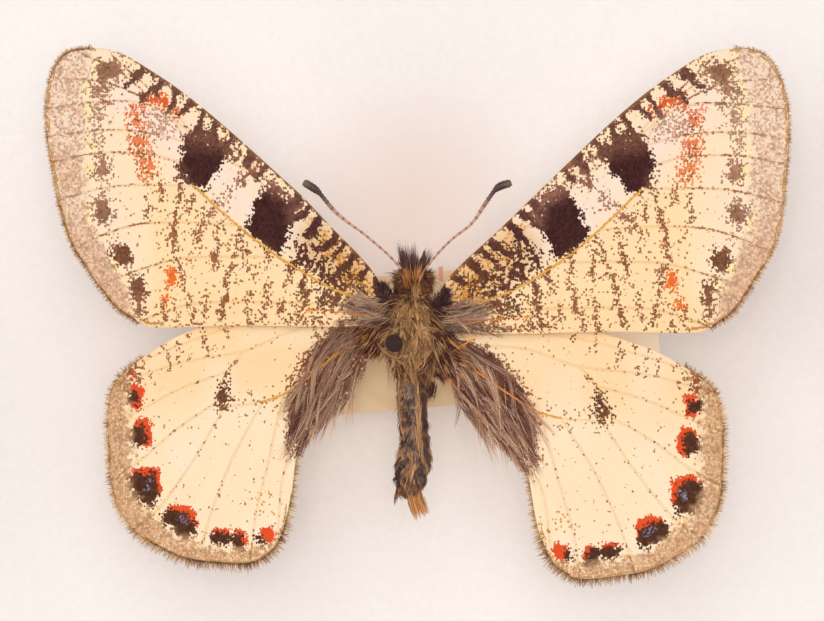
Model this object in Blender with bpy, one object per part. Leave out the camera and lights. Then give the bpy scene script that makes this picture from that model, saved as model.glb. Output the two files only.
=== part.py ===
"""False apollo butterfly (Archon apollinus), set with open wings on a pin, over its card, in a foam base.

Metres, +Z up. The wings lie level, the head points to +Y, and the origin is the middle of the base's
underside. Points and sizes below are written in millimetres and scaled by MM.
"""
import math
import random

import bmesh
import bpy
from mathutils import Vector
from mathutils.geometry import delaunay_2d_cdt

MM = 0.001
GAP = 0.3               # air kept between neighbouring pieces
HAIR_SEED = 8

# Base, pin and card
BASE_SIZE = (72.0, 56.0, 8.0)
BASE_CORNER = 3.0
BASE_EDGE = 0.4
PIN_AT = (-1.34, -2.45)
PIN_RADIUS = 0.28
PIN_FOOT_Z = 1.5
PIN_LENGTH = 38.0
PIN_HEAD_RADIUS = 0.68
CARD_SIZE = (28.9, 10.6, 0.5)
CARD_AT = (4.9, -2.0, 17.0)
CARD_TURN = math.radians(4.7)

# Wings: a plate with ridged veins, the forewing laid over the hindwing's front edge
WING_THICK = 0.5
VEIN_RISE = 0.14
VEIN_HALF_WIDTH = 0.34
FORE_Z = 26.6
WING_STEP = 1.1         # how far the hindwing's middle lies under the forewing's
DIHEDRAL = 0.022
MARGIN_LIFT = 0.5       # how far the outer margins curl up
HALF_SPAN = 29.0

# Body
THORAX_AT = (0.0, -1.95, 25.5)
THORAX_HALF = (1.95, 2.75, 2.1)
BODY_POWER = 2.5
HEAD_AT = (0.12, 2.2, 25.3)
HEAD_HALF = (1.1, 0.95, 1.05)
EYE_RADIUS = 0.56
EYE_SPREAD = 1.0
NECK_RADIUS = 0.7
ABDOMEN_SPINE = [(0.0, -5.0, 25.4), (0.0, -7.5, 25.3), (0.05, -10.0, 25.0), (0.1, -12.2, 24.8), (0.05, -14.2, 24.7)]
ABDOMEN_RADII = [1.12, 1.2, 1.3, 1.38, 0.75]
ABDOMEN_RINGS = 8       # the visible segments
ANTENNA_RADIUS = 0.25
CLUB_RADIUS = 0.33
LEG_RADIUS = 0.27
COIL_TURNS = 1.15
COIL_PITCH = 0.86

# Hair, gathered into flat tapered locks
LOCK_WIDTH = 0.8
LOCK_THICK = 0.5
LOCK_BEND = 0.14        # how far a lock on a wing curves aside, as a share of its length
THORAX_LOCK_ROWS = 7
THORAX_LOCKS_ROUND = 11

# Right forewing's edge, from the shoulder along the costa, round the tip and back along the inner margin
FORE_EDGE = [
    (2.0, 0.7), (2.3, 1.7), (2.9, 2.6), (4.1, 3.85), (7.1, 6.6), (14.1, 13.35), (17.7, 16.5), (20.5, 18.5),
    (22.7, 19.8), (24.7, 20.3), (26.7, 20.0), (28.0, 18.8), (28.8, 16.6), (29.1, 14.0), (28.9, 10.5), (28.5, 6.9),
    (27.8, 4.5), (26.5, 2.3), (24.8, -0.2), (22.9, -1.4), (21.2, -1.75), (15.0, -1.65), (9.0, -1.8), (4.6, -1.75),
    (3.0, -1.4),
]
# Right hindwing's edge, from its front root under the forewing, round the margin to the inner root
HIND_EDGE = [
    (2.9, -1.6), (6.0, -0.9), (10.0, -1.0), (14.0, -1.6), (16.5, -2.3), (19.0, -3.2), (21.0, -4.15), (22.7, -5.3),
    (23.7, -6.6), (24.15, -9.0), (24.15, -12.5), (23.8, -15.2), (22.4, -17.6), (20.4, -19.1), (18.2, -20.2),
    (15.6, -20.7), (13.0, -20.9), (11.5, -20.3), (10.4, -19.2), (9.6, -16.8), (9.0, -13.0), (8.3, -11.7),
    (6.6, -9.9), (4.9, -8.5), (3.7, -6.9), (2.8, -5.2), (2.7, -4.3),
]
FORE_VEINS = {
    "subcosta": [(3.4, 2.2), (7.5, 5.8), (12.0, 10.1), (15.6, 13.4)],
    "radius": [(3.3, 0.9), (6.5, 4.2), (12.2, 9.5), (16.6, 12.7), (19.2, 14.9), (22.5, 18.1), (25.8, 19.7)],
    "radial_branch": [(17.2, 13.3), (19.5, 15.9), (23.2, 19.5)],
    "cell_end": [(18.7, 14.4), (18.0, 12.7), (18.4, 11.1), (17.6, 9.4)],
    "cubitus": [(3.4, 0.1), (7.3, 1.35), (11.2, 3.6), (14.4, 6.2), (17.6, 9.3), (22.0, 9.4), (25.0, 9.15), (28.3, 8.2)],
    "upper_fork": [(20.3, 15.7), (22.7, 17.0), (25.2, 17.6), (28.1, 17.8)],
    "media_1": [(19.3, 14.95), (21.5, 15.85), (25.0, 15.85), (28.5, 15.4)],
    "media_2": [(18.0, 12.7), (20.5, 13.4), (24.5, 13.7), (28.5, 13.2)],
    "media_3": [(18.4, 11.1), (21.0, 11.8), (25.0, 11.9), (28.4, 11.2)],
    "branch_1": [(14.4, 6.2), (18.5, 6.45), (22.2, 6.35), (25.0, 5.6), (27.5, 4.5)],
    "branch_2": [(11.4, 3.7), (18.5, 3.7), (22.5, 2.8), (26.0, 1.5)],
    "anal": [(3.4, -0.4), (8.5, 0.05), (17.2, 0.2), (20.5, -0.4), (22.8, -1.2)],
}
HIND_VEINS = {
    "costal": [(3.4, -2.1), (8.0, -1.8), (13.0, -2.2), (19.2, -3.9), (22.0, -5.2)],
    "upper_cell": [(3.4, -2.7), (8.5, -2.9), (12.9, -4.3), (18.0, -4.9), (23.3, -6.3)],
    "cell_end": [(12.9, -4.3), (14.4, -6.0), (15.0, -7.6), (14.6, -8.5)],
    "media_1": [(14.2, -5.8), (18.0, -6.85), (21.5, -8.4), (24.0, -9.4)],
    "media_2": [(15.0, -8.0), (18.5, -10.0), (21.2, -12.0), (24.0, -13.7)],
    "lower_cell": [(3.2, -3.5), (5.5, -5.2), (9.5, -7.7), (11.5, -8.3), (14.6, -8.5)],
    "media_3": [(14.6, -8.5), (17.0, -12.1), (19.8, -15.6), (22.2, -17.6)],
    "branch_1": [(11.5, -8.3), (14.2, -12.7), (16.1, -16.9), (17.2, -20.3)],
    "branch_2": [(9.9, -7.9), (11.2, -12.8), (12.4, -17.0), (13.0, -20.6)],
    "anal": [(3.0, -4.3), (5.4, -7.4), (9.7, -13.0), (10.7, -18.4)],
}
# How the left wings were set: mirrored, then a slight shear and shift (x row, y row)
LEFT_SET = {
    "fore": ((-0.959, -0.087, 0.894), (-0.010, 0.986, 0.603)),
    "hind": ((-0.957, -0.037, -0.818), (-0.060, 0.999, 1.957)),
}
LEFT_ROOT_PULL = 1.0    # takes the left forewing's root out to the thorax
LEFT_ROOT_REACH = 6.0


def material(name, colour, roughness=0.7, metallic=0.0):
    """One Principled material."""
    made = bpy.data.materials.new(name)
    made.use_nodes = True
    shader = made.node_tree.nodes["Principled BSDF"]
    shader.inputs["Base Color"].default_value = (*colour, 1.0)
    shader.inputs["Roughness"].default_value = roughness
    shader.inputs["Metallic"].default_value = metallic
    return made


def add_object(name, vertices, faces, finish=None):
    """A mesh object from points in millimetres, its faces turned outwards."""
    mesh = bpy.data.meshes.new(name)
    mesh.from_pydata([tuple(c * MM for c in v) for v in vertices], [], faces)
    shell = bmesh.new()
    shell.from_mesh(mesh)
    bmesh.ops.recalc_face_normals(shell, faces=shell.faces)
    shell.to_mesh(mesh)
    shell.free()
    made = bpy.data.objects.new(name, mesh)
    bpy.context.scene.collection.objects.link(made)
    if finish:
        mesh.materials.append(finish)
    return made


def smooth_path(points, step):
    """Points about `step` apart on a Catmull-Rom curve through `points`, of any dimension."""
    knots = [Vector(p) for p in points]
    ends = [knots[0] * 2 - knots[1]] + knots + [knots[-1] * 2 - knots[-2]]
    path = []
    for a, b, c, d in zip(ends, ends[1:], ends[2:], ends[3:]):
        count = max(1, round((c - b).length / step))
        for i in range(count):
            t = i / count
            path.append(0.5 * (2 * b + (c - a) * t + (2 * a - 5 * b + 4 * c - d) * t**2
                               + (3 * b - a - 3 * c + d) * t**3))
    path.append(knots[-1])
    return path


def tube(name, path, radii, sides=7, flatten=1.0, finish=None):
    """A closed tube along a path, with a radius at each point; flatten squeezes it upright.

    Each ring's sideways direction is the last one's, laid square to the path, so the tube never twists.
    """
    points = [Vector(p) for p in path]
    vertices, faces = [], []
    aside = (points[1] - points[0]).cross(Vector((0, 0, 1)))
    if aside.length < 0.05 * (points[1] - points[0]).length:
        aside = Vector((1, 0, 0))
    for i, here in enumerate(points):
        along = (points[min(i + 1, len(points) - 1)] - points[max(i - 1, 0)]).normalized()
        aside = (aside - along * aside.dot(along)).normalized()
        over = aside.cross(along)
        for k in range(sides):
            turn = 2 * math.pi * k / sides
            vertices.append(here + radii[i] * (aside * math.cos(turn) + over * (flatten * math.sin(turn))))
    for i in range(len(points) - 1):
        for k in range(sides):
            a, b = i * sides + k, i * sides + (k + 1) % sides
            faces.append((a, b, b + sides, a + sides))
    faces.append(tuple(range(sides)))
    last = (len(points) - 1) * sides
    faces.append(tuple(last + k for k in range(sides)))
    return add_object(name, vertices, faces, finish)


def superellipsoid(name, centre, half, rings, sides, power=BODY_POWER, finish=None):
    """A rounded body: |x/a|^n + |y/b|^n + |z/c|^n = 1, its poles fore and aft on Y."""
    def spread(value, exponent):
        return math.copysign(abs(value) ** exponent, value)

    vertices = [(centre[0], centre[1] - half[1], centre[2])]
    for i in range(1, rings):
        down = math.pi * i / rings - math.pi / 2
        for k in range(sides):
            turn = 2 * math.pi * k / sides
            reach = spread(math.cos(down), 2 / power)
            vertices.append((centre[0] + half[0] * reach * spread(math.cos(turn), 2 / power),
                             centre[1] + half[1] * spread(math.sin(down), 2 / power),
                             centre[2] + half[2] * reach * spread(math.sin(turn), 2 / power)))
    vertices.append((centre[0], centre[1] + half[1], centre[2]))
    top = len(vertices) - 1
    faces = []
    for k in range(sides):
        after = (k + 1) % sides
        faces.append((0, 1 + k, 1 + after))
        faces.append((top, top - sides + after, top - sides + k))
        for i in range(rings - 2):
            a, b = 1 + i * sides + k, 1 + i * sides + after
            faces.append((a, b, b + sides, a + sides))
    return add_object(name, vertices, faces, finish)


def lock(path, width=LOCK_WIDTH, thick=LOCK_THICK, up=(0, 0, 1)):
    """A flat tapered lock of hair: a four-sided blade along a bending path, drawn out to a point."""
    points = smooth_path(path, (Vector(path[0]) - Vector(path[-1])).length / 3.2)
    vertices, faces = [], []
    for i, here in enumerate(points[:-1]):
        along = (points[i + 1] - points[max(i - 1, 0)]).normalized()
        aside = along.cross(Vector(up))
        if aside.length < 0.1:
            aside = along.cross(Vector((1, 0, 0)))
        aside.normalize()
        over = aside.cross(along)
        part = i / (len(points) - 1)
        wide = width * (0.75 + 0.6 * part) * (1 - part**2) / 2
        high = thick * (1 - 0.55 * part) / 2
        vertices += [here - aside * wide, here + over * high, here + aside * wide, here - over * high]
    tip = len(vertices)
    vertices.append(points[-1])
    for i in range(0, tip - 4, 4):
        for k in range(4):
            a, b = i + k, i + (k + 1) % 4
            faces.append((a, b, b + 4, a + 4))
    faces += [(0, 1, 2, 3)] + [(tip - 4 + k, tip - 4 + (k + 1) % 4, tip) for k in range(4)]
    return add_object("lock", vertices, faces)


def apply_modifiers(body):
    """Replaces the object's mesh by its evaluated one."""
    graph = bpy.context.evaluated_depsgraph_get()
    mesh = bpy.data.meshes.new_from_object(body.evaluated_get(graph))
    body.modifiers.clear()
    body.data = mesh


def keep_largest(body):
    """Leaves only the largest closed surface of a mesh."""
    shell = bmesh.new()
    shell.from_mesh(body.data)
    left = set(shell.faces)
    parts = []
    while left:
        queue = [left.pop()]
        part = []
        while queue:
            face = queue.pop()
            part.append(face)
            for edge in face.edges:
                for other in edge.link_faces:
                    if other in left and len(edge.link_faces) == 2:
                        left.remove(other)
                        queue.append(other)
        parts.append(part)
    parts.sort(key=lambda part: sum(face.calc_area() for face in part))
    scraps = [face for part in parts[:-1] for face in part]
    bmesh.ops.delete(shell, geom=scraps, context="FACES")
    shell.to_mesh(body.data)
    shell.free()


def combine(body, others, operation="UNION"):
    """One Boolean on a collection of closed pieces, applied, its pieces then removed."""
    group = bpy.data.collections.new(body.name + "_pieces")
    for piece in others:
        group.objects.link(piece)
    step = body.modifiers.new("join", "BOOLEAN")
    step.operation = operation
    step.operand_type = "COLLECTION"
    step.collection = group
    step.solver = "MANIFOLD"
    apply_modifiers(body)
    for piece in others:
        bpy.data.objects.remove(piece)
    bpy.data.collections.remove(group)
    keep_largest(body)
    return body


def left_of(wing, point):
    """Where a point of the right wing lies on the left one."""
    x, y = point[0], point[1]
    row_x, row_y = LEFT_SET[wing]
    placed_x = row_x[0] * x + row_x[1] * y + row_x[2]
    placed_y = row_y[0] * x + row_y[1] * y + row_y[2]
    if wing == "fore":
        placed_x -= LEFT_ROOT_PULL * max(0.0, 1 - (x - 2.9) / LEFT_ROOT_REACH)
    return (placed_x, placed_y)


def wing_level(wing, point):
    """Height of the wing's middle: a slight dihedral, and margins that curl up a little."""
    reach = abs(point[0]) / HALF_SPAN
    level = FORE_Z + DIHEDRAL * abs(point[0]) + MARGIN_LIFT * reach**4
    return level - (WING_STEP if wing == "hind" else 0.0)


def thorax_side(y, grown=0.0):
    """Half width of the thorax at this place along it, grown by a margin; beyond its shoulders it stays."""
    part = min(0.8, abs(y - THORAX_AT[1]) / (THORAX_HALF[1] + grown))
    return (THORAX_HALF[0] + grown) * (1 - part**BODY_POWER) ** (1 / BODY_POWER)


def vein_height(point, veins):
    """How much a vein lifts the membrane here: a ridge that falls away to each side."""
    nearest = VEIN_HALF_WIDTH
    for a, b in veins:
        run = b - a
        part = max(0.0, min(1.0, (point - a).dot(run) / run.length_squared))
        nearest = min(nearest, (point - a - run * part).length)
    return VEIN_RISE * (1 - nearest / VEIN_HALF_WIDTH)


def inside(point, loop):
    """Whether a point lies within a closed outline."""
    hit = False
    for a, b in zip(loop, loop[1:] + loop[:1]):
        if (a[1] > point[1]) != (b[1] > point[1]):
            if point[0] < (b[0] - a[0]) * (point[1] - a[1]) / (b[1] - a[1]) + a[0]:
                hit = not hit
    return hit


def wing(name, kind, edge, veins, side, finish):
    """A wing plate: outline, veins and a loose grid triangulated once, and used on both faces."""
    place = (lambda p: left_of(kind, p)) if side < 0 else (lambda p: (p[0], p[1]))
    outline = [Vector(place(p)) for p in smooth_path(edge, 1.5)]
    root_from, root_to = outline[-1], outline[0]
    for part in (0.0, 0.25, 0.5, 0.75, 1.0):
        y = root_from.y + (root_to.y - root_from.y) * part
        outline.append(Vector((THORAX_AT[0] + side * (thorax_side(y, GAP + 0.05)), y)))
    points, edges = list(outline), [(i, (i + 1) % len(outline)) for i in range(len(outline))]
    lines = []
    for path in veins.values():
        line = [Vector(place(p)) for p in smooth_path(path, 2.0)]
        start = len(points)
        points += line
        edges += [(start + i, start + i + 1) for i in range(len(line) - 1)]
        lines += list(zip(line, line[1:]))
        for i, here in enumerate(line):
            along = (line[min(i + 1, len(line) - 1)] - line[max(i - 1, 0)]).normalized()
            aside = Vector((-along.y, along.x)) * VEIN_HALF_WIDTH
            points += [spot for spot in (here + aside, here - aside) if inside(spot, outline)]
    flat, _, faces, _, _, _ = delaunay_2d_cdt(points, edges, [], 2, 0.05)
    upper, lower = [], []
    for spot in flat:
        level = wing_level(kind, spot)
        rise = WING_THICK / 2 + vein_height(spot, lines)
        upper.append((spot.x, spot.y, level + rise))
        lower.append((spot.x, spot.y, level - rise))
    count = len(flat)
    sheet = [f for f in faces if inside(sum((flat[i] for i in f), Vector((0, 0))) / len(f), outline)]
    uses = {}
    for f in sheet:
        for a, b in zip(f, f[1:] + f[:1]):
            uses[(a, b)] = True
    rim = [(a, b) for a, b in uses if (b, a) not in uses]
    skin = [tuple(f) for f in sheet] + [tuple(i + count for i in reversed(f)) for f in sheet]
    skin += [(b, a, a + count, b + count) for a, b in rim]
    return add_object(name, upper + lower, skin, finish)


def wing_locks(kind, side, draw):
    """Long hair on a wing's base and inner margin: locks laid along the wing, rooted in its plate."""
    place = (lambda p: left_of(kind, p)) if side < 0 else (lambda p: p)
    if kind == "hind":
        start, run, across = Vector((3.5, -3.9)), Vector((5.2, -6.7)), Vector((0.79, 0.61))
        roots = [(start + run * (row / 8) + across * (1.05 * (col - 1.5) + 0.5 * (row % 2)), row / 8, col)
                 for row in range(9) for col in range(4)]
        reach, lean = 3.0, -0.98
    else:
        roots = [(Vector((3.4 + 1.25 * col + 0.5 * row, -1.15 + 0.75 * row)), 0.0, row)
                 for row in range(2) for col in range(4)]
        reach, lean = 2.9, -0.22
    made = []
    for (x, y), down, col in roots:
        turn = lean + 0.22 * (draw.random() - 0.5) - 0.22 * down - 0.05 * (3 - col)
        ahead = (math.cos(turn), math.sin(turn))
        length = reach * (0.85 + 0.3 * draw.random())
        tilt = 0.06 * draw.random()
        path = []
        for part, lift in ((0.0, 0.0), (0.4, 0.1 + tilt), (0.75, 0.12 + tilt), (1.0, 0.1 + tilt)):
            bend = LOCK_BEND * part * part * length
            x_at = x + ahead[0] * length * part + ahead[1] * bend
            y_at = y + ahead[1] * length * part - ahead[0] * bend
            spot = place((x_at, y_at))
            path.append((spot[0], spot[1], wing_level(kind, spot) + lift))
        made.append(lock(path, width=0.95, thick=0.72))
    return made


def body_surface(centre, half, direction):
    """Where a ray from the middle of a rounded body leaves it."""
    ray = Vector(direction).normalized()
    total = sum(abs(ray[i] / half[i]) ** BODY_POWER for i in range(3))
    return Vector(centre) + ray * total ** (-1 / BODY_POWER), ray


def clear(point, keep_out, margin):
    """Whether a point stays clear of every keep-out segment (start, end, radius)."""
    for a, b, radius in keep_out:
        run = Vector(b) - Vector(a)
        part = max(0.0, min(1.0, (point - Vector(a)).dot(run) / run.length_squared))
        if (point - Vector(a) - run * part).length < radius + margin:
            return False
    return True


def over_wing(point, margin):
    """Lifts or lowers a point so that it stays off the wing roots beside the thorax."""
    if abs(point.x - THORAX_AT[0]) < thorax_side(point.y) - 0.45 or not -5.2 < point.y < 3.2:
        return point
    top = wing_level("fore", point) + WING_THICK / 2 + VEIN_RISE + margin
    bottom = wing_level("hind", point) - WING_THICK / 2 - VEIN_RISE - margin
    if bottom < point.z < top:
        point.z = top if point.z > THORAX_AT[2] else bottom
    return point


def thorax_locks(draw, keep_out):
    """Locks round the thorax in rows: rooted in the core and swept back along it, over the next row."""
    made = []
    for row in range(THORAX_LOCK_ROWS):
        along = 0.86 - 0.27 * row
        for k in range(THORAX_LOCKS_ROUND):
            turn = 2 * math.pi * (k + 0.5 * (row % 2)) / THORAX_LOCKS_ROUND + 0.14 * (draw.random() - 0.5)
            below = math.sin(turn) < -0.3
            if below and row % 2:
                continue
            root_y = THORAX_AT[1] + THORAX_HALF[1] * along
            length = min(1.9 + 0.6 * draw.random(), root_y - THORAX_AT[1] + THORAX_HALF[1] + 0.1)
            drift = 0.3 * (draw.random() - 0.5)
            path = []
            for part, rise in ((0.0, 0.72), (0.3, 1.0), (0.65, 1.17), (1.0, 1.2)):
                y = root_y - length * part
                slim = max(0.58, 1 - (abs(y - THORAX_AT[1]) / THORAX_HALF[1]) ** BODY_POWER) ** (1 / BODY_POWER)
                spot = Vector((THORAX_AT[0] + THORAX_HALF[0] * slim * rise * math.cos(turn + drift * part), y,
                               THORAX_AT[2] + THORAX_HALF[2] * slim * rise * math.sin(turn + drift * part)))
                path.append(over_wing(spot, GAP + LOCK_THICK / 2 + 0.05) if part else spot)
            if all(clear(spot, keep_out, LOCK_WIDTH / 2 + GAP) for spot in path):
                made.append(lock(path, up=(math.cos(turn), 0, math.sin(turn))))
    return made


def head_locks(draw, keep_out):
    """The upright frontal tuft in three points, and the hair swept back over the crown."""
    made = []
    for i in range(10):
        across = -0.9 + 0.2 * i
        root = Vector((HEAD_AT[0] + 0.55 * across, HEAD_AT[1] + 0.45, HEAD_AT[2] + 0.1 + 0.2 * (i % 2)))
        point = (-1.0, 0.0, 0.95)[min(2, i // 4)]
        tip = Vector((HEAD_AT[0] + 0.35 * across + 0.75 * point, HEAD_AT[1] + 2.75 - 0.25 * abs(point)
                      + 0.35 * (draw.random() - 0.5), root.z + 0.15))
        middle = (root + tip) / 2 + Vector((-0.1 * point, 0, 0.12))
        made.append([root, middle, tip])
    for row in range(2):
        for i in range(5):
            across = -0.8 + 0.4 * i + 0.2 * row
            root = Vector((HEAD_AT[0] + 0.75 * across, HEAD_AT[1] + 0.35 - 0.5 * row, HEAD_AT[2] + 0.6))
            made.append([root, root + Vector((0.25 * across, -0.45, 0.62 - 0.3 * abs(across))),
                         root + Vector((0.4 * across, -1.05, 0.55 - 0.3 * abs(across)))])
    return [lock(path, width=0.62) for path in made
            if all(clear(spot, keep_out, 0.3 + GAP) for spot in path)]


def abdomen_locks(draw):
    """Sparse hair at the sides, and the tuft at the tip."""
    made = []
    for side in (-1, 1):
        for i in range(6):
            root = Vector((side * 0.75, -5.6 - 1.25 * i, 25.55 - 0.09 * i))
            tip = root + Vector((side * (0.62 + 0.2 * draw.random()), -2.5, 0.1))
            made.append(lock([root, (root + tip) / 2 + Vector((side * 0.22, 0, 0.25)), tip], width=0.5))
    for i in range(9):
        across = -1 + i / 4
        root = Vector((0.25 * across, -13.2, 24.7 + 0.16 * (i % 3 - 1)))
        tip = Vector((0.55 + 0.7 * across, -16.3 + 0.8 * abs(across - 0.6), root.z + 0.1 * across))
        middle = (root + tip) / 2 + Vector((-0.1 + 0.1 * across, 0, 0.1))
        made.append(lock([root, middle, tip], width=0.6))
    return made


def rounded_slab(name, size, corner, finish):
    """A slab on Z=0 with round upright corners."""
    ring = []
    for quarter in range(4):
        cx = (size[0] / 2 - corner) * (1 if quarter in (0, 3) else -1)
        cy = (size[1] / 2 - corner) * (1 if quarter in (0, 1) else -1)
        for i in range(5):
            turn = math.pi / 2 * (quarter + i / 4)
            ring.append((cx + corner * math.cos(turn), cy + corner * math.sin(turn)))
    count = len(ring)
    vertices = [(x, y, 0.0) for x, y in ring] + [(x, y, size[2]) for x, y in ring]
    faces = [(i, (i + 1) % count, (i + 1) % count + count, i + count) for i in range(count)]
    faces += [tuple(range(count)), tuple(i + count for i in range(count))]
    return add_object(name, vertices, faces, finish)


def upright_tube(name, at, radius, low, high, sides=16):
    """A cylinder that serves as a drill."""
    return tube(name, [(at[0], at[1], low), (at[0], at[1], high)], [radius, radius], sides)


def make_stand():
    """The foam base, drilled for the pin, the pin with its round head, and the card it pierces."""
    foam = material("foam", (0.86, 0.78, 0.74), 0.9)
    steel = material("enamelled_steel", (0.05, 0.045, 0.05), 0.3, 0.6)
    board = material("card", (0.70, 0.50, 0.33), 0.85)
    base = rounded_slab("stand_base", BASE_SIZE, BASE_CORNER, foam)
    hole = upright_tube("drill", PIN_AT, PIN_RADIUS + GAP, PIN_FOOT_Z - GAP, BASE_SIZE[2] + 1)
    combine(base, [hole], "DIFFERENCE")
    chamfer = base.modifiers.new("edge", "BEVEL")
    chamfer.width = BASE_EDGE * MM
    chamfer.segments = 2
    chamfer.limit_method = "ANGLE"
    chamfer.angle_limit = math.radians(60)

    head_z = PIN_FOOT_Z + PIN_LENGTH - PIN_HEAD_RADIUS
    profile = [(PIN_FOOT_Z, 0.06), (PIN_FOOT_Z + 1.6, PIN_RADIUS), (head_z - PIN_HEAD_RADIUS * 0.9, PIN_RADIUS)]
    for i in range(1, 8):
        turn = math.pi * i / 8
        profile.append((head_z - PIN_HEAD_RADIUS * math.cos(turn) * 0.9, PIN_HEAD_RADIUS * math.sin(turn)))
    tube("pin", [(*PIN_AT, z) for z, _ in profile], [r for _, r in profile], 14, finish=steel)

    half_x, half_y, thick = CARD_SIZE[0] / 2, CARD_SIZE[1] / 2, CARD_SIZE[2]
    cos, sin = math.cos(CARD_TURN), math.sin(CARD_TURN)
    corners = [(CARD_AT[0] + x * cos - y * sin, CARD_AT[1] + x * sin + y * cos)
               for x, y in ((-half_x, -half_y), (half_x, -half_y), (half_x, half_y), (-half_x, half_y))]
    vertices = [(x, y, CARD_AT[2] + z) for z in (0, thick) for x, y in corners]
    faces = [(0, 1, 2, 3), (4, 5, 6, 7)] + [(i, (i + 1) % 4, (i + 1) % 4 + 4, i + 4) for i in range(4)]
    card = add_object("label_card", vertices, faces, board)
    hole = upright_tube("punch", PIN_AT, PIN_RADIUS + GAP, CARD_AT[2] - 1, CARD_AT[2] + 2)
    combine(card, [hole], "DIFFERENCE")


def leg_paths():
    """Three folded legs a side: each straight down from the thorax, out to the knee, and back."""
    paths = {}
    low = THORAX_AT[2] - THORAX_HALF[2] - 2 * GAP
    for side, name in ((-1, "left"), (1, "right")):
        paths["leg_fore_" + name] = [
            (side * 0.95, -0.2, low), (side * 1.0, 0.1, low - 0.6), (side * 1.3, 1.6, 22.0), (side * 1.2, 0.9, 21.2),
            (side * 1.5, -0.7, 20.9)]
        paths["leg_mid_" + name] = [
            (side * 1.2, -1.15, low), (side * 1.5, -1.1, low - 0.6), (side * 1.95, -1.3, 21.9), (side * 1.9, -2.9, 21.1),
            (side * 1.3, -4.6, 20.7)]
        paths["leg_hind_" + name] = [
            (side * 0.9, -3.7, low), (side * 1.0, -4.0, low - 0.5), (side * 0.95, -5.6, 22.2), (side * 0.85, -7.6, 21.7),
            (side * 0.75, -9.8, 21.4)]
    return paths


def antenna_routes():
    """Each antenna's route, from just off the head."""
    routes = {}
    tails = {
        "antenna_left": [(-1.9, 4.35, 27.1), (-3.6, 5.8, 27.5), (-5.1, 6.9, 27.8), (-6.1, 7.8, 28.0), (-7.2, 9.1, 28.2),
                         (-8.3, 9.85, 28.3)],
        "antenna_right": [(2.0, 4.4, 27.1), (3.1, 5.5, 27.5), (4.55, 6.65, 27.8), (5.5, 8.0, 28.0), (6.5, 9.35, 28.2),
                          (7.6, 9.8, 28.3)],
    }
    for side, name in ((-1, "antenna_left"), (1, "antenna_right")):
        foot, ray = body_surface(HEAD_AT, HEAD_HALF, (side * 0.5, 0.55, 0.75))
        routes[name] = [tuple(foot + ray * (GAP + 0.03)), tuple(foot + ray * 0.75)] + tails[name]
    return routes


def make_feelers(coat):
    """Antennae with their clubs, the palps and the coiled proboscis."""
    horn = material("tan_cuticle", (0.42, 0.26, 0.15), 0.5)
    for name, route in antenna_routes().items():
        path = smooth_path(route, 0.7)
        total = len(path) - 1
        radii = []
        for i in range(total + 1):
            part = max(0.0, (i / total - 0.72) / 0.28)
            swell = math.sin(0.78 * math.pi * part)
            radii.append(ANTENNA_RADIUS + (CLUB_RADIUS - ANTENNA_RADIUS) * swell - 0.1 * (part > 0.99))
        tube(name, path, radii, 8, finish=horn)
    for side, name in ((-1, "palp_left"), (1, "palp_right")):
        foot, ray = body_surface(HEAD_AT, HEAD_HALF, (side * 0.4, 0.8, -0.5))
        foot += ray * (GAP + 0.05)
        path = smooth_path([foot, foot + ray * 0.5, foot + Vector((side * 0.3, 1.35, -0.1))], 0.4)
        radii = [0.34 - 0.2 * i / (len(path) - 1) for i in range(len(path))]
        tube(name, path, radii, 8, finish=coat)
    foot, _ = body_surface(HEAD_AT, HEAD_HALF, (0, 0.35, -1))
    out = COIL_PITCH * (COIL_TURNS + 0.35)
    coil = [(HEAD_AT[0], foot.y, foot.z - GAP - 0.02), (HEAD_AT[0], foot.y, foot.z - GAP - 0.5)]
    for i in range(22):
        turn = math.pi / 2 + 2 * math.pi * COIL_TURNS * i / 21
        reach = out - COIL_PITCH * COIL_TURNS * i / 21
        coil.append((HEAD_AT[0], foot.y - out + reach * math.sin(turn), foot.z - GAP - 1.1 + reach * math.cos(turn)))
    tube("proboscis", coil, [LEG_RADIUS] * len(coil), 6, finish=horn)


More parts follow.
